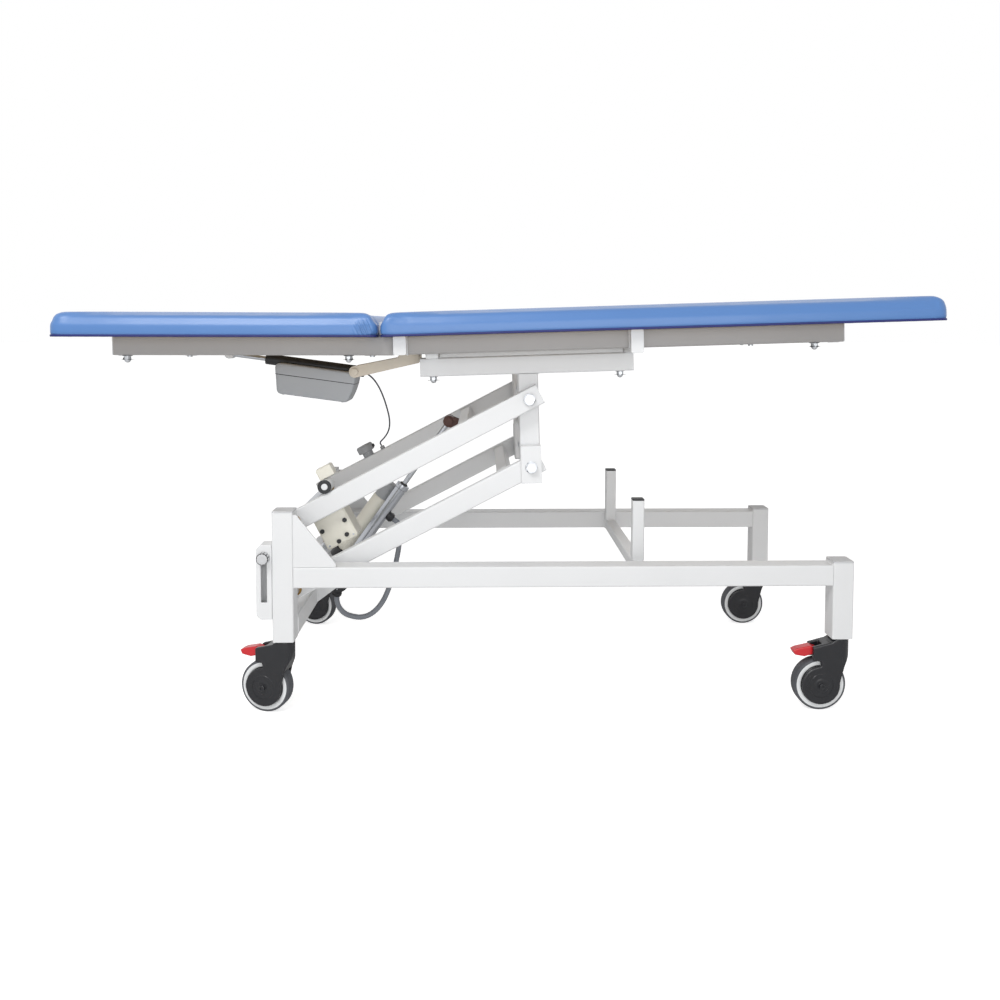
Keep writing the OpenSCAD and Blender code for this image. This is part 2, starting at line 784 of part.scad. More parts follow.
module seat_board() color("burlywood") in_carriage() translate([seat_x0, 0, pad_z]) board(seat_pad_l);
module seat_cushion() color(vinyl_blue) in_carriage() translate([seat_x0, 0, pad_z]) pad_form(seat_pad_l);

// Washer, hexagon nut and domed end below a tube's underside
module dome_nut(x, y, z, dome_d) {
    washer_t = 2;
    nut_share = 0.55;
    translate([x, y, z - washer_t]) cylinder(h = washer_t, d = dome_d * 1.5);
    translate([x, y, z - washer_t - dome_d * nut_share])
        cylinder(h = dome_d * nut_share, d = dome_d / cos(30), $fn = 6);
    translate([x, y, z - washer_t - dome_d * nut_share]) dome(dome_d);
}

// Half ball that points down, cut off at the nut's face
module dome(d) {
    rotate([180, 0, 0]) rotate_extrude() intersection() {
        circle(d = d);
        square(d);
    }
}

module button_head(x, y, z, d) {
    translate([x, y, z - d / 3]) cylinder(h = d / 3, d = d);
}

nut_d = 15;
button_d = 12;
beam_bolt_in = 31;

module seat_bolts() color("silver") in_carriage() {
    underside = pad_z - rail_h;
    beam_z = pad_z - cross_h - beam_h;
    nut_back = 66;
    button_back = 220;
    both_sides() {
        dome_nut(hinge_tube_x + seat_frame_l - nut_back, rail_y, underside, nut_d);
        button_head(hinge_tube_x + seat_frame_l - button_back, rail_y, underside, button_d);
        for (x = [beam_bolt_in - beam_lead, beam_l - beam_lead - beam_bolt_in])
            dome_nut(x, column_y, beam_z, nut_d);
    }
}

// Plates that lead from the hinge tube into the gap between the pads
hinge_plate_in = 7;

module hinge_brackets() color(steel_white) in_carriage() {
    y1 = rail_in - plate_t - 2 * slip;
    r = pad_gap / 2 - slip * hinge_side_share;
    foot = 24;
    both_sides() {
        plate_y(y1 - plate_t, y1) union() {
            translate([hinge_x, hinge_z]) circle(r = r);
            polygon([[hinge_x - r, hinge_z], [hinge_x + r, hinge_z], [hinge_x + r, pad_z - slip],
                     [hinge_tube_x, pad_z - slip], [hinge_tube_x, pad_z - foot], [hinge_x - r, pad_z - foot]]);
        }
        rod_y(y1, rail_in + pin_out, hinge_x, hinge_z, hinge_pin_d);
    }
}
hinge_side_share = 11;
pin_out = 5;

// Two bars below the hinge tube, either side of the backrest actuator's rear end
module actuator_bracket() color("antiquewhite") in_carriage() {
    r = 15;
    half = 11;
    heel = 46;
    bolt_flats = 17;
    bolt_t = 6;
    under = pad_z - rail_h;
    dx = bpin_x - top_x;
    dz = bpin_z - top_z;
    px = dx * tilt_c + dz * tilt_s;
    pz = dz * tilt_c - dx * tilt_s;
    for (side = [-1, 1]) {
        y = -back_act_y + side * (motor_box_w / 2 + slip + plate_t / 2);
        plate_y(y - plate_t / 2, y + plate_t / 2) union() {
            translate([px, pz]) circle(r = r);
            polygon([[px, pz - r], [hinge_tube_x + heel, under - 2 * half - tube_r], [hinge_tube_x + heel, under],
                     [hinge_tube_x, under], [hinge_tube_x - half, under - half], [px, pz + r]]);
        }
        hex_y(y + side * (plate_t + bolt_t) / 2 - bolt_t / 2, y + side * (plate_t + bolt_t) / 2 + bolt_t / 2,
              px, pz, bolt_flats);
    }
    translate([hinge_tube_x + heel - plate_t, -back_act_y - motor_box_w / 2 - slip, under - half])
        cube([plate_t, motor_box_w + 2 * slip, half]);
    translate([px, -back_act_y + motor_box_w / 2 + slip + plate_t, pz])
        translate([lead_gland_x, 0, lead_gland_z]) rotate([-90, 0, 0]) cylinder(h = lead_gland_l, d = lead_gland_d);
}
lead_gland_x = 4;
lead_gland_z = -6;
lead_gland_l = 12;
lead_gland_d = 7;

// Backrest frame, measured from the hinge

back_x1 = -pad_gap / 2;
back_x0 = back_x1 - back_pad_l;
back_under = -hinge_rise - rail_h;
hinge_to_tube = (hinge_tube_x - hinge_x) * tilt_c + (hinge_z - pad_z) * tilt_s;
back_rail_x1 = hinge_to_tube - frame_gap;
back_rail_x0 = back_rail_x1 - back_frame_l;

module backrest_rails() color(steel_white) at_hinge()
    both_sides()
        tube_x(back_rail_x0, back_rail_x1, rail_y, back_under + rail_h / 2, rail_w, rail_h);

module backrest_cross_tubes() color(steel_white) at_hinge() {
    near_hinge = 12;
    z = back_under + rail_h / 2;
    for (x = [0, back_tube_at]) tube_y(-rail_in, rail_in, back_rail_x0 + x + cross_w / 2, z, cross_w, rail_h);
    tube_y(plate_t - rail_in, rail_in - plate_t, -near_hinge - cross_w / 2, z, cross_w, rail_h);
    rod_ears(back_rail_x0 + back_tube_at + cross_w + weld_gap);
}

// Ears that the backrest rod's eye sits between, on the cross tube's side
module rod_ears(face) {
    r = 12;
    flats = 15;
    head_t = 5;
    reach = back_eye_w / 2 + slip;
    translate([0, -back_act_y, 0]) both_sides() {
        plate_y(reach, reach + ear_t) union() {
            translate([-rod_pin_x, -rod_pin_z]) circle(r = r);
            polygon([[face, back_under + tube_r], [-rod_pin_x, -rod_pin_z - r], [-rod_pin_x + r, -rod_pin_z],
                     [-rod_pin_x + r, back_under + rail_h - tube_r], [face, back_under + rail_h - tube_r]]);
        }
        hex_y(reach + ear_t, reach + ear_t + head_t, -rod_pin_x, -rod_pin_z, flats);
    }
}
back_eye_w = 18;
back_eye_d = 22;

module backrest_board() color("burlywood") at_hinge() translate([back_x0, 0, -hinge_rise]) board(back_pad_l);
module backrest_cushion() color(vinyl_blue) at_hinge() translate([back_x0, 0, -hinge_rise]) pad_form(back_pad_l);

module backrest_bolts() color("silver") at_hinge() {
    nut_in = 28;
    nut_back = 105;
    button_in = 174;
    button_back = 49;
    both_sides() {
        for (x = [nut_in, back_frame_l - nut_back]) dome_nut(back_rail_x0 + x, rail_y, back_under, nut_d);
        for (x = [button_in, back_frame_l - button_back])
            button_head(back_rail_x0 + x, rail_y, back_under, button_d);
    }
}

// Plates on the backrest rails' inner sides, up through the gap between the pads
module hinge_ears() color(steel_white) at_hinge() {
    y1 = rail_in;
    r = pad_gap / 2 - slip * hinge_side_share;
    heel = 70;
    foot = rail_h - tube_r - slip;
    both_sides()
        plate_y(y1 - plate_t, y1) difference() {
            union() {
                circle(r = r);
                polygon([[-r, 0], [-r, -hinge_rise - slip], [-heel, -hinge_rise - slip],
                         [-heel, -hinge_rise - foot], [r, -hinge_rise - foot], [r, 0]]);
            }
            circle(d = hinge_pin_d + 2 * fit_play);
        }
}

// Backrest actuator

box_edge = 12;
tube_back = 18;
tube_ahead = 34;

// Moulded box below the tube: its lower side is shorter at both ends
module backrest_motor_housing() color("gainsboro") in_back_actuator() {
    rear = 34;
    drop = 3;
    rear_cut = 40;
    front_cut = 11;
    slope_a = 330;
    h = motor_box_h;
    l = motor_box_l - rear;
    difference() {
        plate_y(-motor_box_w / 2, motor_box_w / 2)
            polygon(concat(
                arc_points(rear - box_edge, -drop - box_edge, box_edge, 0, 90, corner_n),
                arc_points(box_edge - l, -drop - box_edge, box_edge, 90, 180, corner_n),
                arc_points(box_edge - l + front_cut, box_edge - drop - h, box_edge, 180, 270, corner_n),
                arc_points(rear - rear_cut - box_edge, box_edge - drop - h, box_edge, 270, slope_a, corner_n)));
        rotate([0, 90, 0]) translate([0, 0, -l - over])
            cylinder(h = motor_box_l + 2 * over, d = back_tube_d);
    }
}

module backrest_actuator_tube() color(dark) in_back_actuator() {
    difference() {
        rotate([0, -90, 0]) translate([0, 0, -tube_back])
            cylinder(h = tube_back + motor_box_l, d = back_tube_d);
        rotate([0, -90, 0]) translate([0, 0, tube_ahead])
            cylinder(h = motor_box_l, d = back_rod_d + 2 * fit_play);
    }
}

module backrest_push_rod() color("silver") in_back_actuator() {
    inside = 40;
    rotate([0, -90, 0]) translate([0, 0, inside]) cylinder(h = bact_l - inside, d = back_rod_d);
    rod_y(-back_eye_w / 2, back_eye_w / 2, -bact_l, 0, back_eye_d);
}

// Lift actuator, from its foot

foot_l = 60;
motor_off = 28;
motor_y = 36;

module lift_gear_housing() color(dark) in_lift() {
    wall = 4;
    motor_r = lift_motor_d / 2;
    difference() {
        union() {
            rod_y(-gear_w / 2, gear_w / 2, 0, 0, 2 * gear_r);
            translate([0, -gear_w / 2, -gear_r * 0.7]) cube([foot_l, gear_w, gear_r * 1.4]);
            rotate([0, 90, 0]) translate([-motor_off, motor_y, foot_l / 2 + over])
                cylinder(h = foot_l / 2 - over, d = lift_motor_d + 2 * wall);
        }
        rod_y(-gear_w, gear_w, 0, 0, foot_pin_d + 2 * fit_play);
    }
    gland(foot_gland_a, 0, -gear_y_gland, gear_r - wall);
}
foot_gland_a = -144;
gear_y_gland = 20;
gland_d = 24;
gland_out = 14;

// Gland that points out of a round housing at an angle, from the radius r
module gland(a, x, y, r) {
    translate([x, y, 0]) rotate([0, -a, 0]) rotate([0, 90, 0]) translate([0, 0, r])
        cylinder(h = gland_out, d = gland_d);
}

tube_gland_at = 215;

module lift_outer_tube() color("silver") in_lift() {
    collar_d = lift_tube_d + 5;
    collar_l = 10;
    bottom = 8;
    difference() {
        union() {
            rotate([0, 90, 0]) translate([0, 0, foot_l]) cylinder(h = lift_tube_l - foot_l, d = lift_tube_d);
            rotate([0, 90, 0]) translate([0, 0, lift_tube_l - collar_l]) cylinder(h = collar_l, d = collar_d);
            gland(-90, tube_gland_at, 0, lift_tube_d / 2 - over);
        }
        rotate([0, 90, 0]) translate([0, 0, foot_l + bottom])
            cylinder(h = lift_tube_l, d = lift_rod_d + 2 * fit_play);
    }
}

module lift_motor() color("ivory") in_lift() {
    cap_l = 50;
    cap_d = lift_motor_d - 4;
    rotate([0, 90, 0]) translate([-motor_off, motor_y, foot_l]) {
        cylinder(h = lift_motor_l - cap_l, d = lift_motor_d);
        translate([0, 0, lift_motor_l - cap_l]) cylinder(h = cap_l, d = cap_d);
    }
}

module lift_push_rod() color("silver") in_lift() {
    inside = 172;
    rotate([0, 90, 0]) translate([0, 0, inside]) cylinder(h = lift_l - inside, d = lift_rod_d);
    rod_y(-eye_w / 2, eye_w / 2, lift_l, 0, eye_d);
}

// Cables: each is one tube swept along its own points

function unit(v) = v / norm(v);

function route_dir(p, i) =
    i == 0 ? unit(p[1] - p[0]) :
    i == len(p) - 1 ? unit(p[i] - p[i - 1]) :
    unit(unit(p[i + 1] - p[i]) + unit(p[i] - p[i - 1]));

// Curve through four points in a row, at the share t between the middle two
function mid_point(a, b, c, d, t) =
    b + (c - a) * t / 2 + (2 * a - 5 * b + 4 * c - d) * t * t / 2 + (3 * b - a - 3 * c + d) * t * t * t / 2;

function smooth_route(p, n) = concat(
    [for (i = [0 : len(p) - 2]) for (k = [0 : n - 1])
        mid_point(p[max(i - 1, 0)], p[i], p[i + 1], p[min(i + 2, len(p) - 1)], k / n)],
    [p[len(p) - 1]]
);

module swept_tube(route, d, sides) {
    m = len(route);
    points = [for (i = [0 : m - 1]) let (
        t = route_dir(route, i),
        u = unit(cross(t, [0.3, 1, 0.2])),
        v = cross(t, u)
    ) for (k = [0 : sides - 1]) route[i] + d / 2 * (u * cos(360 * k / sides) + v * sin(360 * k / sides))];
    faces = concat(
        [[for (k = [0 : sides - 1]) k]],
        [for (i = [0 : m - 2]) for (k = [0 : sides - 1])
            [i * sides + k, (i + 1) * sides + k, (i + 1) * sides + (k + 1) % sides, i * sides + (k + 1) % sides]],
        [[for (k = [sides - 1 : -1 : 0]) (m - 1) * sides + k]]
    );
    polyhedron(points = points, faces = faces);
}

lead_d = 5;
cable_d = 16;

// Route of the backrest lead, from the actuator bracket to the far upper arm
lead_route = [
    [-368, -26.4, 800], [-368, -14, 800], [-360, 2, 794], [-348, 20, 782], [-338, 40, 765],
    [-330, 62, 744], [-323, 86, 718], [-318, 112, 690], [-315, 138, 663], [-316, 162, 640],
    [-321, 184, 620], [-330, 205, 603], [-340, 221, 590], [-352, 234, 576], [-348, 235, 566]
];

// Route of the lift cable, from the gear housing's foot to the outer tube's underside
cable_route = [
    [-441, -20, 191.5], [-441, -20, 176], [-433, -26, 159], [-417, -35, 147], [-396, -43, 142],
    [-374, -48, 141], [-352, -50, 147], [-332, -50, 161], [-315, -48, 182], [-302, -45, 208],
    [-291, -40, 240], [-282, -34, 275], [-275, -25, 310], [-271, -14, 342], [-270, -6, 365],
    [-274, -1, 382], [-283, 0, 391], [-292.4, 0, 397.8]
];

module backrest_lead() color(dark) swept_tube(lead_route, lead_d, 8);
module lift_cable() color("gray") swept_tube(cable_route, cable_d, 12);

// Castors: the number runs from the near head end round to the far head end

function castor_places() = [
    [base_x + leg_w / 2, -leg_y], [base_x + base_l - leg_w / 2, -leg_y],
    [base_x + base_l - leg_w / 2, leg_y], [base_x + leg_w / 2, leg_y]
];

// Turn of each castor about its stem at rest, as they stand in the photo
castor_turns = [-15, 0, 0, -15];

module at_castor(i) {
    translate([castor_places()[i - 1][0], castor_places()[i - 1][1], 0]) rotate([0, 0, castor_turns[i - 1]])
        children();
}

crown_under = 10;
fork_play = 1;
pedal_x = -58;
pedal_z = 144;
pedal_w = 24;
pedal_pin_d = 6;
pedal_slot_x = -44;

// Swan-neck fork: a crown under the leg, a broad neck, round guards over the wheel centre, and the axle
module castor_fork(i) color(dark) at_castor(i) {
    r = wheel_d / 2;
    cheek = (fork_w - wheel_w) / 2 - fork_play;
    arch = r + crown_under / 2;
    top = castor_h - slip;
    neck = fork_w / 2;
    ears_back = 68;
    ears_top = 20;
    ears_low = 54;
    ears_root = 51;
    crown_back = 26;
    crown_fall = 9;
    crown_edge = 2;
    bulge_fall = 27;
    throat_fall = 44;
    throat_in = 3;
    waist_in = 15;
    waist_up = 45;
    cap_r = 15;
    cap_l = 1;
    difference() {
        union() {
            intersection() {
                plate_y(-fork_w / 2, fork_w / 2)
                    polygon([[-crown_back, top - crown_fall], [-neck / 2, top], [neck - crown_edge, top],
                             [neck, top - crown_edge], [neck, top - bulge_fall],
                             [neck - throat_in, top - throat_fall], [neck - waist_in, r + waist_up],
                             [hub_d / 2 - trail - crown_edge, r], [-trail, r - neck], [-trail, r + waist_up],
                             [-ears_root, top - ears_low], [-ears_back, top - ears_low],
                             [-ears_back, top - ears_top]]);
                linear_extrude(castor_h) union() {
                    circle(r = neck);
                    translate([-castor_h, -neck]) square([castor_h, fork_w]);
                }
            }
            plate_y(-fork_w / 2, fork_w / 2) translate([-trail, r]) circle(r = hub_d / 2);
        }
        plate_y(cheek - fork_w / 2, fork_w / 2 - cheek) translate([-trail, r]) circle(r = arch);
        translate([0, 0, castor_h - stem_down - over]) cylinder(h = stem_down + 2 * over, d = stem_d + 2 * fit_play);
        translate([pedal_slot_x - fork_w, -pedal_w / 2 - slip, r + arch * 0.8])
            cube([fork_w, pedal_w + 2 * slip, arch]);
    }
    rod_y(-fork_w / 2, fork_w / 2, -trail, r, axle_d);
    for (side = [-1, 1]) plate_y(side * fork_w / 2 - cap_l, side * fork_w / 2 + cap_l)
        translate([-trail, r]) circle(r = cap_r);
    rod_y(-fork_w / 2, fork_w / 2, pedal_x, pedal_z, pedal_pin_d);
}

// Brake pedal in the slot at the fork's back
module castor_pedal(i) color("red") at_castor(i) {
    barrel_r = 7;
    barrel_from = -100;
    barrel_to = 80;
    reach = 56;
    root = 14;
    nose = 10;
    toe = 28;
    rise = 12;
    drop = 14;
    fall = 7;
    plate_y(-pedal_w / 2, pedal_w / 2) difference() {
        polygon(concat(
            arc_points(pedal_x, pedal_z, barrel_r, barrel_from, barrel_to, 3 * corner_n),
            [[pedal_x - root, pedal_z + rise], [pedal_x - reach + nose, pedal_z + rise - fall],
             [pedal_x - reach, pedal_z], [pedal_x - reach + nose / 2, pedal_z - nose],
             [pedal_x - toe, pedal_z - drop]]));
        translate([pedal_x, pedal_z]) circle(d = pedal_pin_d + 2 * fit_play);
    }
}

// Wheel centre: a boss on the axle, and covers that dish in a little to the tyre's seat
module castor_hub(i) color(dark) at_castor(i) {
    r = wheel_d / 2;
    boss_r = 14;
    dish = 2;
    lip = 3;
    face = wheel_w / 2;
    side = [[boss_r, face], [boss_r + dish, face - dish], [hub_d / 2 - lip, face - dish],
            [hub_d / 2, face - dish - lip]];
    lay_wheel(r) rotate_extrude()
        polygon(concat([[axle_d / 2 + fit_play, -face], [axle_d / 2 + fit_play, face]], side,
                       [for (k = [3 : -1 : 0]) [side[k][0], -side[k][1]]]));
}

module lay_wheel(r) {
    translate([-trail, 0, r]) rotate([90, 0, 0]) children();
}

module castor_tyre(i) color("lightgray") at_castor(i) {
    r = wheel_d / 2;
    shoulder = 4;
    lay_wheel(r) rotate_extrude() intersection() {
        translate([hub_d / 2, -wheel_w / 2]) square([r - hub_d / 2, wheel_w]);
        polygon(concat(
            [[hub_d / 2, -wheel_w / 2]],
            arc_points(r - shoulder, shoulder - wheel_w / 2, shoulder, -90, 0, corner_n),
            arc_points(r - shoulder, wheel_w / 2 - shoulder, shoulder, 0, 90, corner_n),
            [[hub_d / 2, wheel_w / 2]]));
    }
}

base_legs();
side_rails();
base_cross_tubes();
rest_posts();
tube_caps();
base_plates();
pivot_shafts();
castor_stems();
slide_bracket();
slide_knob();
upper_arms();
rod_bracket();
guide_stub();
arm_fittings();
control_box();
black_plugs();
upper_bushes();
lower_arms();
lower_bushes();
carriage_columns();
lift_beams();
pivot_bolts();
seat_rails();
seat_cross_tubes();
seat_board();
seat_cushion();
seat_bolts();
hinge_brackets();
actuator_bracket();
backrest_rails();
backrest_cross_tubes();
backrest_board();
backrest_cushion();
backrest_bolts();
hinge_ears();
backrest_motor_housing();
backrest_actuator_tube();
backrest_push_rod();
lift_gear_housing();
lift_outer_tube();
lift_motor();
lift_push_rod();
backrest_lead();
lift_cable();
castor_fork(1);  // castor_1_fork
castor_hub(1);  // castor_1_hub
castor_tyre(1);  // castor_1_tyre
castor_pedal(1);  // castor_1_pedal
castor_fork(2);  // castor_2_fork
castor_hub(2);  // castor_2_hub
castor_tyre(2);  // castor_2_tyre
castor_pedal(2);  // castor_2_pedal
castor_fork(3);  // castor_3_fork
castor_hub(3);  // castor_3_hub
castor_tyre(3);  // castor_3_tyre
castor_pedal(3);  // castor_3_pedal
castor_fork(4);  // castor_4_fork
castor_hub(4);  // castor_4_hub
castor_tyre(4);  // castor_4_tyre
castor_pedal(4);  // castor_4_pedal
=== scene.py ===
import json
import math
import bmesh
import bpy
import numpy as np
from mathutils import Matrix, Vector


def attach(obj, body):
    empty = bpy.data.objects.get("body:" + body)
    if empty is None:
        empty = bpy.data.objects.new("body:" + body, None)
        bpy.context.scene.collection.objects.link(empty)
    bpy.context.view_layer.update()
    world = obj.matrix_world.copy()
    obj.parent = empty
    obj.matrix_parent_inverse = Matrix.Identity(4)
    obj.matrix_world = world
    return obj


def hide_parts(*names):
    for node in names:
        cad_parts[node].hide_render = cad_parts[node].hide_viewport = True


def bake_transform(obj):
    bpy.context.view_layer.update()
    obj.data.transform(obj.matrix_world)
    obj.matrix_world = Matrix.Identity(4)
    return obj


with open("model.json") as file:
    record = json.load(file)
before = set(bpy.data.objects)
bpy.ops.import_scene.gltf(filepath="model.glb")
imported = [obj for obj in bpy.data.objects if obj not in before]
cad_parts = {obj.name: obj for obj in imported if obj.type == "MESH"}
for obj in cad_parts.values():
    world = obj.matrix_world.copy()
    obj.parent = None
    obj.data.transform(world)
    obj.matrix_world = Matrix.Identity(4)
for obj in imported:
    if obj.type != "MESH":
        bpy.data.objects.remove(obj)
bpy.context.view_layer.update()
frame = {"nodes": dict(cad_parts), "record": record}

# The view of the photograph: a lens of 31 mm for a 36 mm film, at the height of the pads,
# turned right by 1.2 degrees, tipped down by 2.7 and shifted down the film.
eye = np.array([-0.0488061, -2.3260747, 0.9134591])
turn_right, tip_down, roll = 0.0215511, 0.0464379, 0.0018173
ahead = np.array([math.sin(turn_right) * math.cos(tip_down),
                  math.cos(turn_right) * math.cos(tip_down), -math.sin(tip_down)])
level = np.array([math.cos(turn_right), -math.sin(turn_right), 0.0])
above = np.cross(level, ahead)
to_right = math.cos(roll) * level + math.sin(roll) * above
upward = -math.sin(roll) * level + math.cos(roll) * above
lens = bpy.data.cameras.new("camera")
film_width, focal_share, picture_middle = 36.0, 0.85658, 0.369607
lens.sensor_width = film_width
lens.lens = film_width * focal_share
lens.shift_y = picture_middle - 0.5
lens.clip_start = 0.05
camera = bpy.data.objects.new("camera", lens)
pose = np.eye(4)
pose[:3] = np.stack([to_right, upward, -ahead, eye], 1)
camera.matrix_world = Matrix(pose)
bpy.context.scene.collection.objects.link(camera)
bpy.context.scene.camera = camera
bpy.context.scene.view_settings.view_transform = "Standard"


# Lift cable: a grey ribbed conduit about 15 mm thick, pushed into glands on the gear
# housing and on the lift tube's underside. It hangs in a loop and turns with the actuator.
conduit_radius, conduit_rib = 0.0073, 0.0045
conduit_route = np.array([
    (-441, -20, 191.5), (-441, -20, 176), (-433, -26, 159), (-417, -35, 147), (-396, -43, 142),
    (-374, -48, 141), (-352, -50, 147), (-332, -50, 161), (-315, -48, 182), (-302, -45, 208),
    (-291, -40, 240), (-282, -34, 275), (-275, -25, 310), (-271, -14, 342), (-270, -6, 365),
    (-274, -1, 382), (-283, 0, 391), (-292.4, 0, 397.8)]) / 1000


def smooth_path(points, step):
    """Points a step apart on the curve that runs through the given points: a cubic
    between each two whose slope at a point is half the way between its neighbours."""
    p = np.vstack([points[:1], points, points[-1:]])
    t = np.linspace(0, 1, 40, endpoint=False)[:, None]
    parts = [b + (c - a) * t / 2 + (2 * a - 5 * b + 4 * c - d) * t**2 / 2
             + (3 * b - a - 3 * c + d) * t**3 / 2
             for a, b, c, d in zip(p[:-3], p[1:-2], p[2:-1], p[3:])]
    return evenly(np.vstack(parts + [points[-1:]]), step)


def evenly(line, step):
    """The same line with its points about a step apart, measured along it."""
    run = np.r_[0, np.cumsum(np.linalg.norm(np.diff(line, axis=0), axis=1))]
    at = np.linspace(0, run[-1], max(2, int(round(run[-1] / step))) + 1)
    return np.stack([np.interp(at, run, line[:, i]) for i in range(3)], 1)


def net(points, around=True, ends="fan"):
    """Shape (points, faces) of a grid of points, rows by columns: a four-sided face
    between neighbours. Around joins the last column to the first. Ends is fan to close
    both end rows on their middle, ring to join the last row to the first, or open."""
    rows, cols = points.shape[:2]
    i, j = np.meshgrid(np.arange(rows if ends == "ring" else rows - 1),
                       np.arange(cols if around else cols - 1), indexing="ij")
    i2, j2 = (i + 1) % rows, (j + 1) % cols
    faces = np.stack([i * cols + j, i * cols + j2, i2 * cols + j2, i2 * cols + j], -1)
    faces = faces.reshape(-1, 4).tolist()
    verts = points.reshape(-1, 3)
    if ends == "fan":
        n = np.arange(cols)
        m = (n + 1) % cols
        first, last, low = len(verts), len(verts) + 1, (rows - 1) * cols
        verts = np.vstack([verts, points[0].mean(0), points[-1].mean(0)])
        faces += np.stack([m, n, np.full(cols, first)], 1).tolist()
        faces += np.stack([low + n, low + m, np.full(cols, last)], 1).tolist()
    return verts, faces


def tube(path, radius, sides, ends="fan"):
    """Round shape along a path: at each point a circle of that point's radius, square to
    the path, kept from twisting by carrying one sideways direction along."""
    if ends == "ring":
        ahead = np.roll(path, -1, 0) - np.roll(path, 1, 0)
    else:
        ahead = np.gradient(path, axis=0)
    ahead = ahead / np.linalg.norm(ahead, axis=1)[:, None]
    side = np.empty_like(path)
    s = np.cross(ahead[0], (0.31, 1, 0.2))
    for n, d in enumerate(ahead):
        s = s - d * (s @ d)
        s /= np.linalg.norm(s)
        side[n] = s
    a = np.linspace(0, 2 * np.pi, sides, endpoint=False)[None, :, None]
    r = np.broadcast_to(radius, len(path))[:, None, None]
    turn = side[:, None] * np.cos(a) + np.cross(ahead, side)[:, None] * np.sin(a)
    return net(path[:, None] + r * turn, ends=ends)


def piece(name, shapes, material, body=None, stands_for=(), sharp=34, at=None):
    """A finished piece from closed shapes: joined in one mesh, its faces turned outwards,
    smooth but for edges that turn by more than the sharp angle. At maps millimetres in a
    part's own frame to the room, for shapes that aren't there yet."""
    verts, faces, n = [], [], 0
    for v, f in shapes:
        verts.append(at(v) if at else v)
        faces += [[k + n for k in face] for face in f]
        n += len(v)
    mesh = bpy.data.meshes.new(name)
    mesh.from_pydata(np.vstack(verts).tolist(), [], faces)
    form = bmesh.new()
    form.from_mesh(mesh)
    bmesh.ops.recalc_face_normals(form, faces=form.faces)
    form.to_mesh(mesh)
    form.free()
    return fitted(name, mesh, material, body, stands_for, sharp)


def fitted(name, mesh, material, body, stands_for=(), sharp=34):
    """Puts a mesh in the scene as a piece with its material and body, in place of the nodes it
    stands for.
    """
    obj = bpy.data.objects.new(name, mesh)
    bpy.context.scene.collection.objects.link(obj)
    mesh.materials.clear()
    mesh.materials.append(material)
    mesh.polygons.foreach_set("use_smooth", [True] * len(mesh.polygons))
    mesh.set_sharp_from_angle(angle=math.radians(sharp))
    if stands_for:
        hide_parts(*stands_for)
    if body:
        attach(obj, body)
    return obj


def srgb(r, g, b):
    """A written colour, 0 to 255, as the linear values that a shader takes."""
    c = np.array([r, g, b]) / 255
    c = np.where(c <= 0.04045, c / 12.92, ((c + 0.055) / 1.055) ** 2.4)
    return (*c.tolist(), 1.0)


def set_inputs(node, inputs):
    """Gives each named input of a node a socket to follow, or a value."""
    for key, value in inputs.items():
        if isinstance(value, bpy.types.NodeSocket):
            node.id_data.links.new(value, node.inputs[key])
        else:
            node.inputs[key].default_value = value


def with_all(thing, **settings):
    """A node, modifier or lamp, given its settings."""
    for key, value in settings.items():
        setattr(thing, key, value)
    return thing


def added(tree, kind, inputs=(), output=0, **settings):
    """One output of a new node of a kind, made with its settings and its inputs."""
    node = with_all(tree.nodes.new("ShaderNode" + kind), **settings)
    set_inputs(node, dict(inputs))
    return node.outputs[output]


def mixed(share, a, b):
    """Colour a, which goes over to colour b by a share."""
    return added(share.id_data, "Mix", {"Factor": share, "A": a, "B": b}, "Result",
                 data_type="RGBA")


def noise(place, scale, detail, **more):
    """Cloudy noise, at a scale in marks a metre."""
    return added(place.id_data, "TexNoise", {"Vector": place, "Scale": scale, "Detail": detail,
                                             **more})


def ranged(value, low=0.0, high=1.0, to_low=0.0, to_high=1.0):
    """A value taken evenly from one range to another, and held at its ends."""
    return added(value.id_data, "MapRange", {"Value": value, "From Min": low,
                 "From Max": high, "To Min": to_low, "To Max": to_high})


def calc(operation, a, b):
    """Two values joined by an operation such as ADD or MAXIMUM."""
    return added(a.id_data, "Math", {0: a, 1: b}, operation=operation)


def raised_by(height, strength, depth, **under):
    """The normal of a relief of some depth in metres."""
    return added(height.id_data, "Bump", {"Height": height, "Strength": strength,
                                          "Distance": depth, **under})


def shade(colour, times):
    """A colour some times as light."""
    return (*(c * times for c in colour[:3]), 1)


def blank(name):
    """A new material, its node tree and its shader."""
    mat = bpy.data.materials.new(name)
    mat.use_nodes = True
    return mat, mat.node_tree, mat.node_tree.nodes["Principled BSDF"]


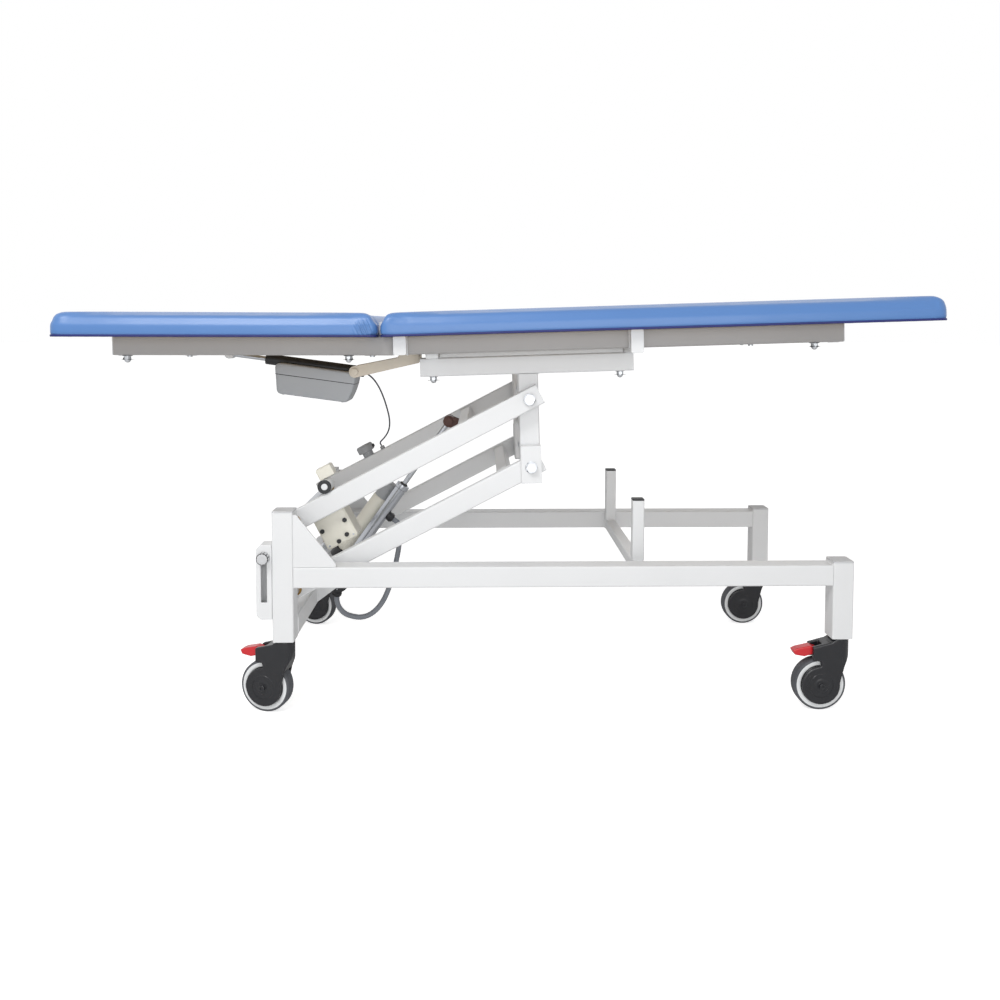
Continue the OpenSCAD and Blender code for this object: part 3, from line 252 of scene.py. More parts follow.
def surface(name, colour, roughness, grain, bump, metallic=0.0, fleck=0.03, cloud=3.0,
            lines=(1, 1, 1), worn=0.0, **sockets):
    """Finish with cloudy colour, uneven gloss and a fine bump. Wide noise mixes the colour
    with one darker by 4 flecks. Grain is the bump's size in marks a metre, drawn out by
    lines along an axis where a number is small. Worn darkens the coat in thin scuffs."""
    colour = srgb(*colour)
    mat, tree, shader = blank(name)
    place = added(tree, "TexCoord", output="Object")
    wide = noise(place, cloud, 6.0)
    share = ranged(wide, 0.4, 0.75)
    tint = mixed(share, colour, shade(colour, 1 - 4 * fleck))
    if worn:
        scratch = noise(place, 55.0, 9.0, Roughness=0.72, Distortion=1.6)
        mark = ranged(scratch, 0.69, 0.74, 0, worn)
        tint = mixed(mark, tint, shade(colour, 0.45))
    rough = ranged(wide, 0, 1, roughness * 0.85, roughness * 1.2)
    drawn = added(tree, "Mapping", {"Vector": place, "Scale": lines})
    fine = noise(drawn, grain, 3.0)
    relief = raised_by(fine, bump, 0.0004)
    set_inputs(shader, {"Base Color": tint, "Roughness": rough, "Normal": relief,
                              "Metallic": metallic})
    set_inputs(shader, {k.replace("_", " "): value for k, value in sockets.items()})
    return mat


conduit_line = smooth_path(conduit_route, conduit_rib / 6)
run = np.arange(len(conduit_line)) * conduit_rib / 6
ribs = conduit_radius - 0.0007 * (1 - np.cos(2 * np.pi * run / conduit_rib)) / 2
conduit_grey = surface("conduit_grey", (126, 130, 137), 0.5, 900, 0.1)
conduit = piece("lift_conduit", [tube(conduit_line, ribs, 24)], conduit_grey, "lift_actuator",
                ["lift_cable"], sharp=60)


# Lead of the backrest motor: a thin dark cable that leaves the carriage beside the motor and
# droops to a grommet on the far upper arm.
lead_radius = 0.0023
lead_route = np.array([
    (-368, -26.4, 800), (-368, -14, 800), (-360, 2, 794), (-348, 20, 782), (-338, 40, 765),
    (-330, 62, 744), (-323, 86, 718), (-318, 112, 690), (-315, 138, 663), (-316, 162, 640),
    (-321, 184, 620), (-330, 205, 603), (-340, 221, 590), (-352, 234, 576),
    (-348, 235, 566)]) / 1000
lead_line = smooth_path(lead_route, 0.004)
lead_grey = surface("lead_grey", (92, 94, 100), 0.55, 900, 0.1)
lead = piece("motor_lead", [tube(lead_line, lead_radius, 14)], lead_grey, None,
             ["backrest_lead"], sharp=60)
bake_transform(lead)


# Base frame: 50 mm square steel tube, two legs a side joined by a rail, with a low cross tube
# at the head end and a thin one that carries the rest posts. Sawn square, welded, then
# powder coated in one off-white satin coat with a faint orange peel.
coat_white = surface("white_powder_coat", (226, 227, 228), 0.36, 420, 0.16, fleck=0.012,
                     cloud=2.2, worn=0.05)
body_of = {n: b for b, group in frame["record"]["behaviour"]["bodies"].items() for n in group}


def solid_copy(node, keep=None):
    """Copy of a CAD node's mesh as one closed skin: doubles merged, flat faces made whole.
    Keep is a test on a corner's place, for a piece that takes only some of the solids."""
    form = bmesh.new()
    form.from_mesh(frame["nodes"][node].data)
    if keep:
        away = [v for v in form.verts if not keep(v.co)]
        bmesh.ops.delete(form, geom=away, context="VERTS")
    bmesh.ops.remove_doubles(form, verts=form.verts, dist=1e-5)
    bmesh.ops.dissolve_limit(form, angle_limit=math.radians(0.5), verts=form.verts,
                             edges=form.edges)
    mesh = bpy.data.meshes.new(node + "_skin")
    form.to_mesh(mesh)
    form.free()
    return mesh


def copied(node, suffix, material, keep=None):
    """A node's solid as a piece of its own, in place of the node."""
    return fitted(node + suffix, solid_copy(node, keep), material, body_of[node],
                  [node])


def finished(material, *nodes, edge=0.0007, suffix="_finished", keep=None):
    """Each node's solid with its corners eased by a small round."""
    for node in nodes:
        obj = copied(node, suffix, material, keep)
        with_all(obj.modifiers.new("eased", "BEVEL"), width=edge, segments=2,
                 limit_method="ANGLE", angle_limit=math.radians(32), use_clamp_overlap=False)
        with_all(obj.modifiers.new("level", "WEIGHTED_NORMAL"), keep_sharp=True)


finished(coat_white, "base_legs", "side_rails", "base_cross_tubes", "rest_posts", "base_plates")


def own_frame(x=0.0, y=0.0, z=0.0, raised=0.0, turned=0.0):
    """Mapping of millimetres in a part's own frame to metres in the room. The frame stands
    at x, y, z with its +X end raised by one angle, or turned about its upright by the other."""
    c, s = math.cos(math.radians(raised)), math.sin(math.radians(raised))
    d, t = math.cos(math.radians(turned)), math.sin(math.radians(turned))
    axes = np.array([[c * d, c * t, s], [-t, d, 0], [-s * d, -s * t, c]])
    return lambda p: (np.asarray(p, float) @ axes + (x, y, z)) / 1000


weld_pitch, weld_step = 2.4, 0.6


def bead(corners, radius=2.3, loop=False):
    """Weld bead along a line of corners: a round string whose radius swells once a pitch,
    r (1 + 0.22 |sin|), and tapers over its last 3 mm at an open end."""
    points = np.asarray(corners, float)
    line = evenly(np.vstack([points, points[:1]]) if loop else points, weld_step)
    line = line[:-1] if loop else line
    run = np.arange(len(line)) * weld_step
    r = radius * (0.86 + 0.22 * np.abs(np.sin(np.pi * run / weld_pitch)))
    if not loop:
        r = r * np.clip(0.35 + np.minimum(run, run[-1] - run) / 3, 0, 1)
    return tube(line, r, 8, "ring" if loop else "fan")


def round_loop(width, height, corner, n=5):
    """Outline of a rounded rectangle about the origin: arcs of n steps at its corners."""
    a = np.radians(np.linspace(0, 90, n + 1))
    arc = np.stack([np.cos(a), np.sin(a)], 1) * corner
    middle = np.array([width / 2 - corner, height / 2 - corner])
    quarter = arc + middle
    return np.vstack([quarter, (arc * (-1, 1) + middle * (-1, 1))[::-1],
                      -quarter, (arc * (1, -1) + middle * (1, -1))[::-1]])


def bead_round(across, x, y, z, width, height, radius=2.3):
    """Bead all round a tube's end where it stands on a flat face: across is the axis that
    the tube runs along, and width and height are the tube's."""
    a, b = round_loop(width, height, 4).T
    flat = np.zeros(len(a))
    loop = {"x": (flat, a, b), "y": (a, flat, b)}[across]
    return bead(np.stack(loop, 1) + (x, y, z), radius, True)


base_x, base_length, leg_y, leg_wide, rail_z = -540.752, 1380, 305, 50, 305
post_x, gusset_x, gusset_y, inner_y = base_x + 886, base_x + leg_wide, 324, leg_y - leg_wide / 2
base_beads = [bead([(post_x - 12, y, 335), (post_x + 12, y, 335)], 1.8)
              for y in (-207, -177, 250)]
base_beads += [bead([(base_x, -290, z0), (base_x, -290, z1)], 2.0)
               for z0, z1 in ((236, 270), (300, 334), (368, 402))]
for side in (-1, 1):
    y, edge_y = side * inner_y, side * gusset_y
    base_beads += [bead([(x, side * leg_y - 21, z), (x, side * leg_y + 21, z)])
                   for x in (base_x + leg_wide, base_x + base_length - leg_wide)
                   for z in (rail_z, rail_z + leg_wide)]
    base_beads += [bead([(base_x + 5, y, 226), (base_x + 45, y, 226)]),
                   bead([(gusset_x, y, 182), (gusset_x, y, 222)]),
                   bead_round("y", post_x, y, rail_z + 15, 30, 30, 2.0),
                   bead([(gusset_x + 10, edge_y, 355), (gusset_x + 98, edge_y, 355)], 2.0),
                   bead([(gusset_x, edge_y, 365), (gusset_x, edge_y, 476)], 2.0)]
    base_beads += [bead([(gusset_x, side * ear, 182), (gusset_x, side * ear, 220)], 1.8)
                   for ear in (35.3, 41.3)]
piece("base_welds", base_beads, coat_white, "base", sharp=60, at=own_frame())


# Tube ends: moulded caps pressed into the legs and posts, pale grey in the legs and
# black on the rest posts, with a fine pebbled face.
cap_grey = surface("cap_pale_grey", (205, 206, 208), 0.55, 900, 0.2)
cap_black = surface("cap_black", (40, 41, 45), 0.55, 900, 0.2, fleck=0.05)
near_post = lambda co: abs(co.x - post_x / 1000) < 0.03
finished(cap_black, "tube_caps", edge=0.0012, suffix="_posts", keep=near_post)
finished(cap_grey, "tube_caps", edge=0.0012, suffix="_legs", keep=lambda co: not near_post(co))


# Pivots: two ground steel shafts between the head-end legs, and the pin of the lift
# actuator's foot, held in its ears by snap rings.
bright_steel = surface("bright_steel", (188, 191, 196), 0.3, 500, 0.12, metallic=1.0,
                       lines=(1, 0.08, 1))
finished(bright_steel, "pivot_shafts", edge=0.001)


def ring_round_y(profile, sides=96):
    """Closed section of (radius, along) points turned about the Y axis."""
    p = np.asarray(profile, float)
    a = np.linspace(0, 2 * np.pi, sides, endpoint=False)
    return net(np.stack([p[:, :1] * np.cos(a), p[:, 1:] + 0 * a, p[:, :1] * np.sin(a)], -1),
               ends="ring")


def washer(inner, outer, thick, edge=0.4, sides=48):
    """Flat ring about the Y axis: a rectangle with its outer corners cut."""
    t = thick / 2
    return ring_round_y([(inner, -t), (outer - edge, -t), (outer, edge - t), (outer, t - edge),
                         (outer - edge, t), (inner, t)], sides)


def placed(shape, place, order=(0, 1, 2), flip=(1, 1, 1)):
    """A shape with its axes taken in another order, some mirrored, moved to a place."""
    return shape[0][:, list(order)] * flip + place, shape[1]


lift_x, lift_z = base_x + 100, 240
snap_rings = [placed(washer(6.2, 9.6, 1.4), (lift_x, side * 45.2, lift_z)) for side in (-1, 1)]
piece("foot_pin_snap_rings", snap_rings, bright_steel, "base", at=own_frame())


# Slide guide: a box bracket of folded plate welded to the near head-end leg, with a slot
# and a locking pin in it under a pale knob whose rim has twelve finger grooves.
finished(coat_white, "slide_bracket", edge=0.001)
black_nylon = surface("black_nylon", (32, 33, 36), 0.45, 800, 0.22, fleck=0.05)
finished(black_nylon, "slide_knob", edge=0.0008)


def turned(profile, sides=48, flutes=0, depth=0.0, rounds=0.0):
    """Turned shape about the X axis from (along, radius) points, its corners first eased
    by rounds. Flutes cut the radius in by depth (1 - cos) / 2 at each groove."""
    p = np.asarray(profile, float)
    p = eased_line(p, rounds) if rounds else p
    a = np.linspace(0, 2 * np.pi, sides, endpoint=False)
    share = 1 - depth * (1 - np.cos(flutes * a)) / 2 if flutes else np.ones(sides)
    r = p[:, 1:] * share
    return net(np.stack([p[:, :1] + 0 * a, r * np.cos(a), r * np.sin(a)], -1))


def eased_line(p, size, n=4):
    """A line of corners with each rounded: the curve (1-t)^2 A + 2 t (1-t) B + t^2 C between
    points A and C that lie size from the corner B, or less on a short side."""
    p, t = np.asarray(p, float), np.linspace(0, 1, n + 1)[:, None]
    done = [p[:1]]
    for a, b, c in zip(p[:-2], p[1:-1], p[2:]):
        u, v = a - b, c - b
        lu, lv = np.linalg.norm(u), np.linalg.norm(v)
        s = min(size, lu * 0.45, lv * 0.45)
        first, last = b + u / lu * s, b + v / lv * s
        done.append((1 - t) ** 2 * first + 2 * t * (1 - t) * b + t ** 2 * last)
    return np.vstack(done + [p[-1:]])


def turned_to(shape, start, toward):
    """A turned shape with its X axis laid along a direction from a point."""
    d = np.asarray(toward, float) / np.linalg.norm(toward)
    helper = np.array((0, 0, 1.0)) if abs(d[2]) < 0.9 else np.array((1.0, 0, 0))
    u = np.cross(helper, d)
    u /= np.linalg.norm(u)
    axes = np.stack([d, u, np.cross(d, u)])
    return shape[0] @ axes + np.asarray(start, float), shape[1]


knob_x, knob_face, knob_z = base_x - 18.5, -331, 378.7
grip = turned([(0, 13.4), (0, 14.9), (13, 14.9), (15.4, 12.5), (16, 6), (15.4, 3)],
              96, flutes=12, depth=0.07, rounds=1.2)
piece("knob_grip", [turned_to(grip, (knob_x, knob_face, knob_z), (0, -1, 0))],
      cap_grey, "lock_pin", at=own_frame())


# Castors: a dark glass-filled nylon fork with round guards over the wheel, a wheel with a
# pale ring and a grey tread, and a red brake pedal. Each turns on a steel stem in its leg.
finished(bright_steel, "castor_stems", edge=0.0008)
castor_nylon = surface("castor_nylon", (33, 34, 38), 0.24, 700, 0.2, fleck=0.05, cloud=14)
pedal_red = surface("pedal_red", (206, 30, 40), 0.28, 600, 0.06, Coat_Weight=0.25)
ring_pale = surface("ring_pale", (232, 234, 235), 0.45, 700, 0.12, cloud=18)
tread_grey = surface("tread_grey", (84, 86, 91), 0.68, 500, 0.35, fleck=0.08, cloud=16)


def refilled(obj, voxel, passes=0):
    """The object's skin in even faces a voxel wide, each point then moved towards its
    neighbours' middle by a half, over several passes."""
    with_all(obj.modifiers.new("refill", "REMESH"), mode="VOXEL", voxel_size=voxel)
    if passes:
        with_all(obj.modifiers.new("soften", "SMOOTH"), factor=0.5, iterations=passes)
    skin = bpy.data.meshes.new_from_object(
        obj.evaluated_get(bpy.context.evaluated_depsgraph_get()))
    obj.modifiers.clear()
    obj.data = skin
    skin.polygons.foreach_set("use_smooth", [True] * len(skin.polygons))
    return obj


def moulded(node, voxel, passes, material):
    """A node's solid as a moulding, with its corners rounded over."""
    return refilled(copied(node, "_moulded", material), voxel, passes)


across = np.linspace(-1, 1, 49)
tread_out = 62.4 - 0.5 * across**2 - 4.2 * np.clip(np.abs(across) - 0.78, 0, 1) ** 2 / 0.22**2
for groove in (-0.42, 0.0, 0.42):
    tread_out = tread_out - 0.9 * np.exp(-((across - groove) / 0.035) ** 2)
tread_section = np.vstack([[(56.9, -14.2)], np.stack([tread_out, across * 14.9], 1),
                           [(56.9, 14.2)]])
pale_section = eased_line([
    (46.2, 0), (46.2, 12.4), (48.5, 13.9), (55.8, 14.5), (57.3, 13.6), (57.3, 0),
    (57.3, -13.6), (55.8, -14.5), (48.5, -13.9), (46.2, -12.4), (46.2, -0.1)], 0.9)
axle_cap = eased_line([(0, 9.5), (1.6, 9.5), (1.6, 7.6), (1.7, 7.4), (6.2, 7.2), (7.0, 6.2),
                       (7.0, 3.2), (5.4, 2.8)], 0.5)
wheel_trail, axle_z = 48, 62.5
head_x, foot_x = base_x + leg_wide / 2, base_x + base_length - leg_wide / 2
castors = ((head_x, -leg_y, -15), (foot_x, -leg_y, 0), (foot_x, leg_y, 0), (head_x, leg_y, -15))
for n, (x, y, turn) in enumerate(castors, 1):
    at_castor = own_frame(x, y, 0, turned=turn)
    hub = own_frame(*(at_castor([(-wheel_trail, 0, axle_z)])[0] * 1000), turned=turn)
    moulded(f"castor_{n}_fork", 0.0017, 5, castor_nylon)
    moulded(f"castor_{n}_pedal", 0.0014, 6, pedal_red)
    finished(castor_nylon, f"castor_{n}_hub", edge=0.0008)
    for name, section, material in (("tread", tread_section, tread_grey),
                                    ("pale_ring", pale_section, ring_pale)):
        piece(f"castor_{n}_{name}", [ring_round_y(section)], material, f"wheel_{n}",
              [f"castor_{n}_tyre"], at=hub)
    caps = [turned_to(turned(axle_cap, 48), (0, side * 23.6, 0), (0, side, 0))
            for side in (-1, 1)]
    caps += [placed(washer(27.4, 29.0, 1.6, 0.5, 64), (0, side * 22.8, 0)) for side in (-1, 1)]
    piece(f"castor_{n}_axle_caps", caps, castor_nylon, f"castor_{n}", at=hub)


# Lift arms: two pairs of 50 by 30 mm tube with closed ends, tied by a cross tube, each end
# bored for a flanged bronze bush. Coated as the base is.
finished(coat_white, "lower_arms", "upper_arms")
bush_bronze = surface("bush_bronze", (172, 138, 84), 0.42, 900, 0.2, metallic=1.0, fleck=0.05)
finished(bush_bronze, "lower_bushes", "upper_bushes", edge=0.0003)
pivot_x, arm_inner = base_x + 36, 220
upper_at = own_frame(pivot_x, 0, 445, raised=27.6)
lower_at = own_frame(pivot_x, 0, 280, raised=27.3949)
for name, at_arms, tie_x in (("upper", upper_at, 470), ("lower", lower_at, 580)):
    beads = [bead_round("y", tie_x, side * arm_inner, 0, 30, 40) for side in (-1, 1)]
    piece(name + "_arm_welds", beads, coat_white, name + "_arms", sharp=60,
          at=at_arms)


# On the upper arms: the dark brown bracket of the lift rod, a round stub with a black ring, a
# small junction box, a capped boss, and the cream control box with its plugs.
dark_brown = surface("dark_brown", (92, 58, 48), 0.5, 500, 0.25, fleck=0.08, cloud=20)
finished(dark_brown, "rod_bracket", edge=0.0008)
finished(coat_white, "guide_stub", edge=0.001)
cream_shell = surface("cream_shell", (224, 221, 209), 0.42, 700, 0.18, fleck=0.02)
boss_grey = surface("boss_grey", (158, 160, 163), 0.45, 800, 0.2)
on_far_arm = lambda co: co.y > 0
finished(cream_shell, "arm_fittings", edge=0.0016, suffix="_junction_box",
         keep=lambda co: not on_far_arm(co))
finished(boss_grey, "arm_fittings", edge=0.002, suffix="_boss", keep=on_far_arm)
moulded("control_box", 0.0022, 5, cream_shell)
finished(black_nylon, "black_plugs", edge=0.0012)
boss_top = turned([(0, 23), (1.6, 23), (2.2, 22), (2.2, 6), (1.2, 5), (1.2, 1)], 64, rounds=0.6)
sensor = turned([(0, 5.5), (4, 5.5), (5.5, 4), (5.8, 1)], 32, rounds=0.8)
piece("boss_cap", [turned_to(boss_top, (148, 235, 59), (0, 0, 1))], boss_grey, "upper_arms",
      at=upper_at)
piece("boss_plug", [turned_to(sensor, (172, 231, 48), (1, -0.2, 0))], black_nylon,
      "upper_arms", at=upper_at)


def slab(outline, z0, z1, edge):
    """Flat plate from an outline in the X-Y plane: rings at each height, drawn in by the
    edge's round, 1 - cos, towards the outline's middle line by outward normals."""
    p = np.asarray(outline, float)
    along = np.roll(p, -1, 0) - np.roll(p, 1, 0)
    out = np.stack([along[:, 1], -along[:, 0]], 1) / np.linalg.norm(along, axis=1)[:, None]
    if np.sum(p * out) < 0:
        out = -out
    a = np.radians(np.linspace(0, 90, 4))
    rises = np.r_[z0 + edge * (1 - np.sin(a[::-1])), z1 - edge * (1 - np.sin(a))]
    draws = np.r_[edge * (1 - np.cos(a[::-1])), edge * (1 - np.cos(a))]
    rings = [np.c_[p - out * d, np.full(len(p), z)] for z, d in zip(rises, draws)]
    return net(np.stack(rings))


def screw(radius=3.2):
    """Pan-head screw on the X axis with a hexagon socket: a low dome, then a well whose
    rows change from a circle to a hexagon, r cos(30) / cos(a mod 60 - 30)."""
    a = np.linspace(0, 2 * np.pi, 24, endpoint=False)
    six = math.cos(math.radians(30)) / np.cos(np.mod(a, np.pi / 3) - np.pi / 6)
    rows = [(0, radius, 0), (0.28 * radius, radius, 0), (0.5 * radius, 0.86 * radius, 0),
            (0.62 * radius, 0.6 * radius, 0), (0.6 * radius, 0.5 * radius, 1),
            (0.15 * radius, 0.48 * radius, 1)]
    grid = [np.stack([np.full(24, x), r * np.cos(a) * (six if hexagon else 1),
                      r * np.sin(a) * (six if hexagon else 1)], 1) for x, r, hexagon in rows]
    return net(np.stack(grid))


# Lids of the control box, on its outer face, and of the junction box: the same cream
# plastic, each held by four steel screws.
box_x, box_z, small_x, small_y = 74, -49, 122, -229.5
lid = placed(slab(round_loop(78, 108, 6), 0, 2.2, 1.0), (box_x, -arm_inner, box_z),
             (0, 2, 1), (1, -1, 1))
small_lid = placed(slab(round_loop(36, 31, 3), 0, 1.8, 0.8), (small_x, small_y, 85))
piece("box_lids", [lid, small_lid], cream_shell, "upper_arms", at=upper_at)
heads = [turned_to(screw(2.6), (box_x + dx, -222.2, box_z + dz), (0, -1, 0))
         for dx in (-33, 33) for dz in (-48, 48)]
heads += [turned_to(screw(1.8), (small_x + dx, small_y + dy, 86.8), (0, 0, 1))
          for dx in (-14, 14) for dy in (-11, 11)]
piece("box_screws", heads, bright_steel, "upper_arms", at=upper_at)


# Carriage: two columns under lift beams, bolted to the arms, and the seat frame of 25 by
# 45 mm rails between cross tubes whose closed ends stand out as tabs. One welded unit.
finished(coat_white, "carriage_columns", "lift_beams", "seat_cross_tubes", "hinge_brackets")
# The rails are a darker grey than the rest of the frame.
darker_rail_grey = surface("rails_darker_grey", (160, 158, 157), 0.36, 420, 0.16, fleck=0.015,
                    cloud=2.2)
finished(darker_rail_grey, "seat_rails")
pale_zinc = surface("pale_zinc", (208, 211, 215), 0.38, 500, 0.12, metallic=0.85,
                    fleck=0.02, lines=(1, 0.1, 1))
finished(pale_zinc, "pivot_bolts", "seat_bolts", edge=0.0006)
seat_slope, beam_y, tube_end, rail_y, rail_middle = 1.8, 192, 275, 287.5, 141.5
carriage_at = own_frame(67.7357, 0, 744.289, raised=seat_slope)
seat_beads, packing = [], []
for side in (-1, 1):
    seat_beads += [bead([(x, side * (beam_y - 21), z), (x, side * (beam_y + 21), z)])
                   for x, z in ((-25, 61), (25, 61), (-247.5, 107), (-217.5, 107), (238.5, 107))]
    seat_beads += [bead([(x, side * tube_end, 122), (x, side * tube_end, 162)], 2.0)
                   for x in (-247.5, -217.5)]
    seat_beads += [bead_round("x", x, side * rail_y, rail_middle, 25, 45, 1.9)
                   for x in (-288.5, 238.5, 268.5)]
    seat_beads += [bead_round("y", 736.5, side * tube_end, rail_middle, 30, 45, 2.0),
                   bead_round("y", 0, side * 167, -82.5, 30, 40, 2.2),
                   bead([(-21, side * 217, -118), (21, side * 217, -118)], 1.8)]
    packing.append(slab(round_loop(455, 44, 1.5) + (10.5, side * beam_y), 107, 118.8, 0.8))
    packing.append(placed(slab(round_loop(27, 54, 3), -0.9, 0.9, 0.3),
                          (-232.5, side * 273.9, 135.5), (0, 2, 1)))
piece("carriage_welds", seat_beads, coat_white, "carriage", sharp=60,
      at=carriage_at)
column_cap = slab(round_loop(49.6, 49.6, 4), 0, 4, 1.2)
piece("column_caps", [placed(column_cap, (0, side * beam_y, -209.1)) for side in (-1, 1)],
      cap_grey, "carriage", at=carriage_at)
piece("packing_bars", packing, coat_white, "carriage", at=carriage_at)
rail_cap = slab(round_loop(24.6, 44.6, 4), 0, 2.4, 0.8)
seat_caps = [placed(rail_cap, (751.6, side * rail_y, rail_middle), (2, 0, 1)) for side in (-1, 1)]
piece("seat_rail_caps", seat_caps, cap_grey, "carriage", at=carriage_at)


def nut_seals(places):
    """Black nylon ring under each dome nut's washer."""
    ring = turned([(0, 5), (0, 11.9), (1.1, 11.9), (1.1, 5)], 40, rounds=0.3)
    return [turned_to(ring, p, (0, 0, -1)) for p in places]


seat_nuts = [(x, side * y, z) for side in (-1, 1) for x, y, z in (
    (685.5, rail_y, 119.1), (-234.5, beam_y, 61.1), (231.5, beam_y, 61.1))]
piece("seat_nut_seals", nut_seals(seat_nuts), black_nylon, "carriage",
      at=carriage_at)


# Lift actuator: a black gear housing on its foot pin, a satin aluminium tube, a motor in a
# cream can beside it, and the ground push rod, whose eye is pinned between the brown ears.
lift_at = own_frame(lift_x, 0, lift_z, raised=54.4534)
satin_aluminium = surface("satin_aluminium", (184, 187, 193), 0.25, 380, 0.15,
                          metallic=1.0, fleck=0.02)
moulded("lift_gear_housing", 0.0019, 5, black_nylon)
barrel = turned([(60, 10), (60, 16), (295, 16), (296.5, 18.5), (309, 18.5), (309.6, 16),
                 (309.6, 9)], 72, rounds=0.7)
wiper = turned([(308, 7.2), (308, 11.5), (312.5, 10.5), (313.5, 8.2), (313.5, 7.2)], rounds=0.6)
piece("lift_barrel", [barrel], satin_aluminium, "lift_actuator",
      ["lift_outer_tube"], at=lift_at)
piece("lift_wiper", [wiper], black_nylon, "lift_actuator", at=lift_at)


def gland(start, toward):
    """Cable gland on a wall: a round foot, a hexagon nut and a domed seal."""
    foot = turned([(-2, 6), (-2, 12), (5, 12), (5, 9)], 40, rounds=0.6)
    nut = turned([(5, 9), (5, 13.4), (12, 13.4), (12, 9)], 6)
    seal = turned([(12, 11.6), (14, 11.2), (16, 9.6), (16.6, 8.6), (16, 7.6)], 40, rounds=0.5)
    return [turned_to(s, start, toward) for s in (foot, nut, seal)]


down = math.radians(-144)
glands = gland((34 * math.cos(down), -20, 34 * math.sin(down)),
               (math.cos(down), 0, math.sin(down)))
glands += gland((215, 0, -15.2), (0, 0, -1))
piece("conduit_glands", glands, black_nylon, "lift_actuator", at=lift_at)
can = turned([(0, 18), (0, 23.2), (2, 24), (57, 24), (57.8, 23.1), (60, 23.1), (60.8, 24),
              (176, 24), (178.5, 22.4), (178.5, 12)], 72, rounds=0.6)
can_end = turned([(178, 12), (178, 22), (206, 22), (206.8, 21.3), (208.4, 21.3), (209.2, 22),
                  (223, 22), (227, 18.5), (227, 6)], 72, rounds=0.9)
motor_at = (60, 36, 28)
piece("lift_motor_can", [turned_to(can, motor_at, (1, 0, 0))], cream_shell, "lift_actuator",
      ["lift_motor"], at=lift_at)
piece("lift_motor_end", [turned_to(can_end, motor_at, (1, 0, 0))], boss_grey,
      "lift_actuator", at=lift_at)
cover_screws = [turned_to(screw(2.7), (27 * math.cos(a), side * 33.55, 27 * math.sin(a)),
                          (0, side, 0))
                for side in (-1, 1) for a in np.radians((100, 160, 220, 280))]
piece("gear_screws", cover_screws, bright_steel, "lift_actuator", at=lift_at)
finished(bright_steel, "lift_push_rod", edge=0.0008)


# Backrest frame: two rails and three cross tubes, hung on two plates that reach up through
# the gap between the pads. Welded and coated as the seat frame.
# Its rails are the same darker grey as the seat rails.
finished(darker_rail_grey, "backrest_rails")
finished(coat_white, "backrest_cross_tubes", "hinge_ears")
finished(pale_zinc, "backrest_bolts", edge=0.0006)
hinge_at = own_frame(-287.607, 0, 924.717)
back_beads = []
for side in (-1, 1):
    back_beads += [bead_round("y", x, side * y, -50, 30, 45, 2.0)
                   for x, y in ((-609.152, 275), (-451.152, 275), (-27, 269))]
    back_beads += [bead([(-436.2, -90 + side * y, -66), (-436.2, -90 + side * y, -34)], 1.6)
                   for y in (9.3, 15.3)]
piece("backrest_welds", back_beads, coat_white, "backrest", sharp=60, at=hinge_at)
back_nuts = [(x, side * rail_y, -72.4) for side in (-1, 1) for x in (-596.152, -76.152)]
piece("backrest_nut_seals", nut_seals(back_nuts), black_nylon, "backrest",
      at=hinge_at)
back_caps = [placed(rail_cap, (x, side * rail_y, -50), (2, 0, 1), (math.copysign(1, x), 1, 1))
             for side in (-1, 1) for x in (-624.5, 28.9)]
piece("backrest_rail_caps", back_caps, cap_grey, "backrest", at=hinge_at)


# Backrest actuator: a light grey moulded motor box under a black tube, hung between two
# beige bars below the hinge tube, and a steel rod that pushes on the backrest's ears.
beige_coat = surface("beige_coat", (216, 206, 190), 0.4, 420, 0.16)
finished(beige_coat, "actuator_bracket", edge=0.0009)
grey_shell = surface("grey_shell", (168, 171, 175), 0.42, 700, 0.16, fleck=0.02)
motor_box = moulded("backrest_motor_housing", 0.0026, 6, grey_shell)
finished(black_nylon, "backrest_actuator_tube", edge=0.0012)
finished(bright_steel, "backrest_push_rod", edge=0.0008)
back_at = own_frame(-371.607, -90, 805.717, raised=-7.64041)


def vectors(vertices, key="co"):
    """A vector of each of a mesh's vertices, its place or its normal, as rows."""
    rows = np.empty(len(vertices) * 3)
    vertices.foreach_get(key, rows)
    return rows.reshape(-1, 3)


def cut_back(p):
    """The motor box's end near the hinge drawn in to a steep slope: points past x = -60 move
    towards it, by most at the top, where the end stands 34 mm back, and by none at the foot."""
    past = np.maximum(p[:, 0] + 60, 0)
    share = np.clip(34 * (1 + p[:, 2] / 80), 0, 34) / 85
    return np.c_[p[:, 0] - past * share, p[:, 1:]]


origin = back_at(np.zeros(3))
to_box = np.linalg.inv(back_at(np.eye(3)) - origin)
in_box = (vectors(motor_box.data.vertices) - origin) @ to_box
motor_box.data.vertices.foreach_set("co", back_at(cut_back(in_box)).ravel())
motor_box.data.update()
seam_line = round_loop(222.8, 90, 4, 6) + (-89.1, 0)
seam_line = np.c_[np.vstack([seam_line, seam_line[:1]]), np.full(len(seam_line) + 1, -32.0)]
seam, seam_faces = tube(evenly(seam_line, 3.0)[:-1], 0.8, 8, "ring")
piece("motor_box_seam", [(cut_back(seam), seam_faces)], black_nylon, "backrest_actuator",
      sharp=60, at=back_at)
box_screws = [turned_to(screw(2.8), (x, y, -81.6), (0, 0, -1))
              for x in (-176, -24) for y in (-34, 34)]
piece("motor_box_screws", box_screws, bright_steel, "backrest_actuator",
      at=back_at)


# Boards: 15 mm birch plywood of eleven plies under each pad, screwed to the rails, with the
# rounded corners of the cover that is drawn over them.
pad_width, pad_corner, gap_corner, board_inset = 700.0, 28.0, 16.0, 4.5
seat_length, back_length = 1325.0, 747.0
seat_pad_at = own_frame(*(carriage_at([(-339.5, 0, 164)])[0] * 1000), raised=seat_slope)
back_pad_at = own_frame(*(hinge_at([(-10 - back_length, 0, -27.5)])[0] * 1000))
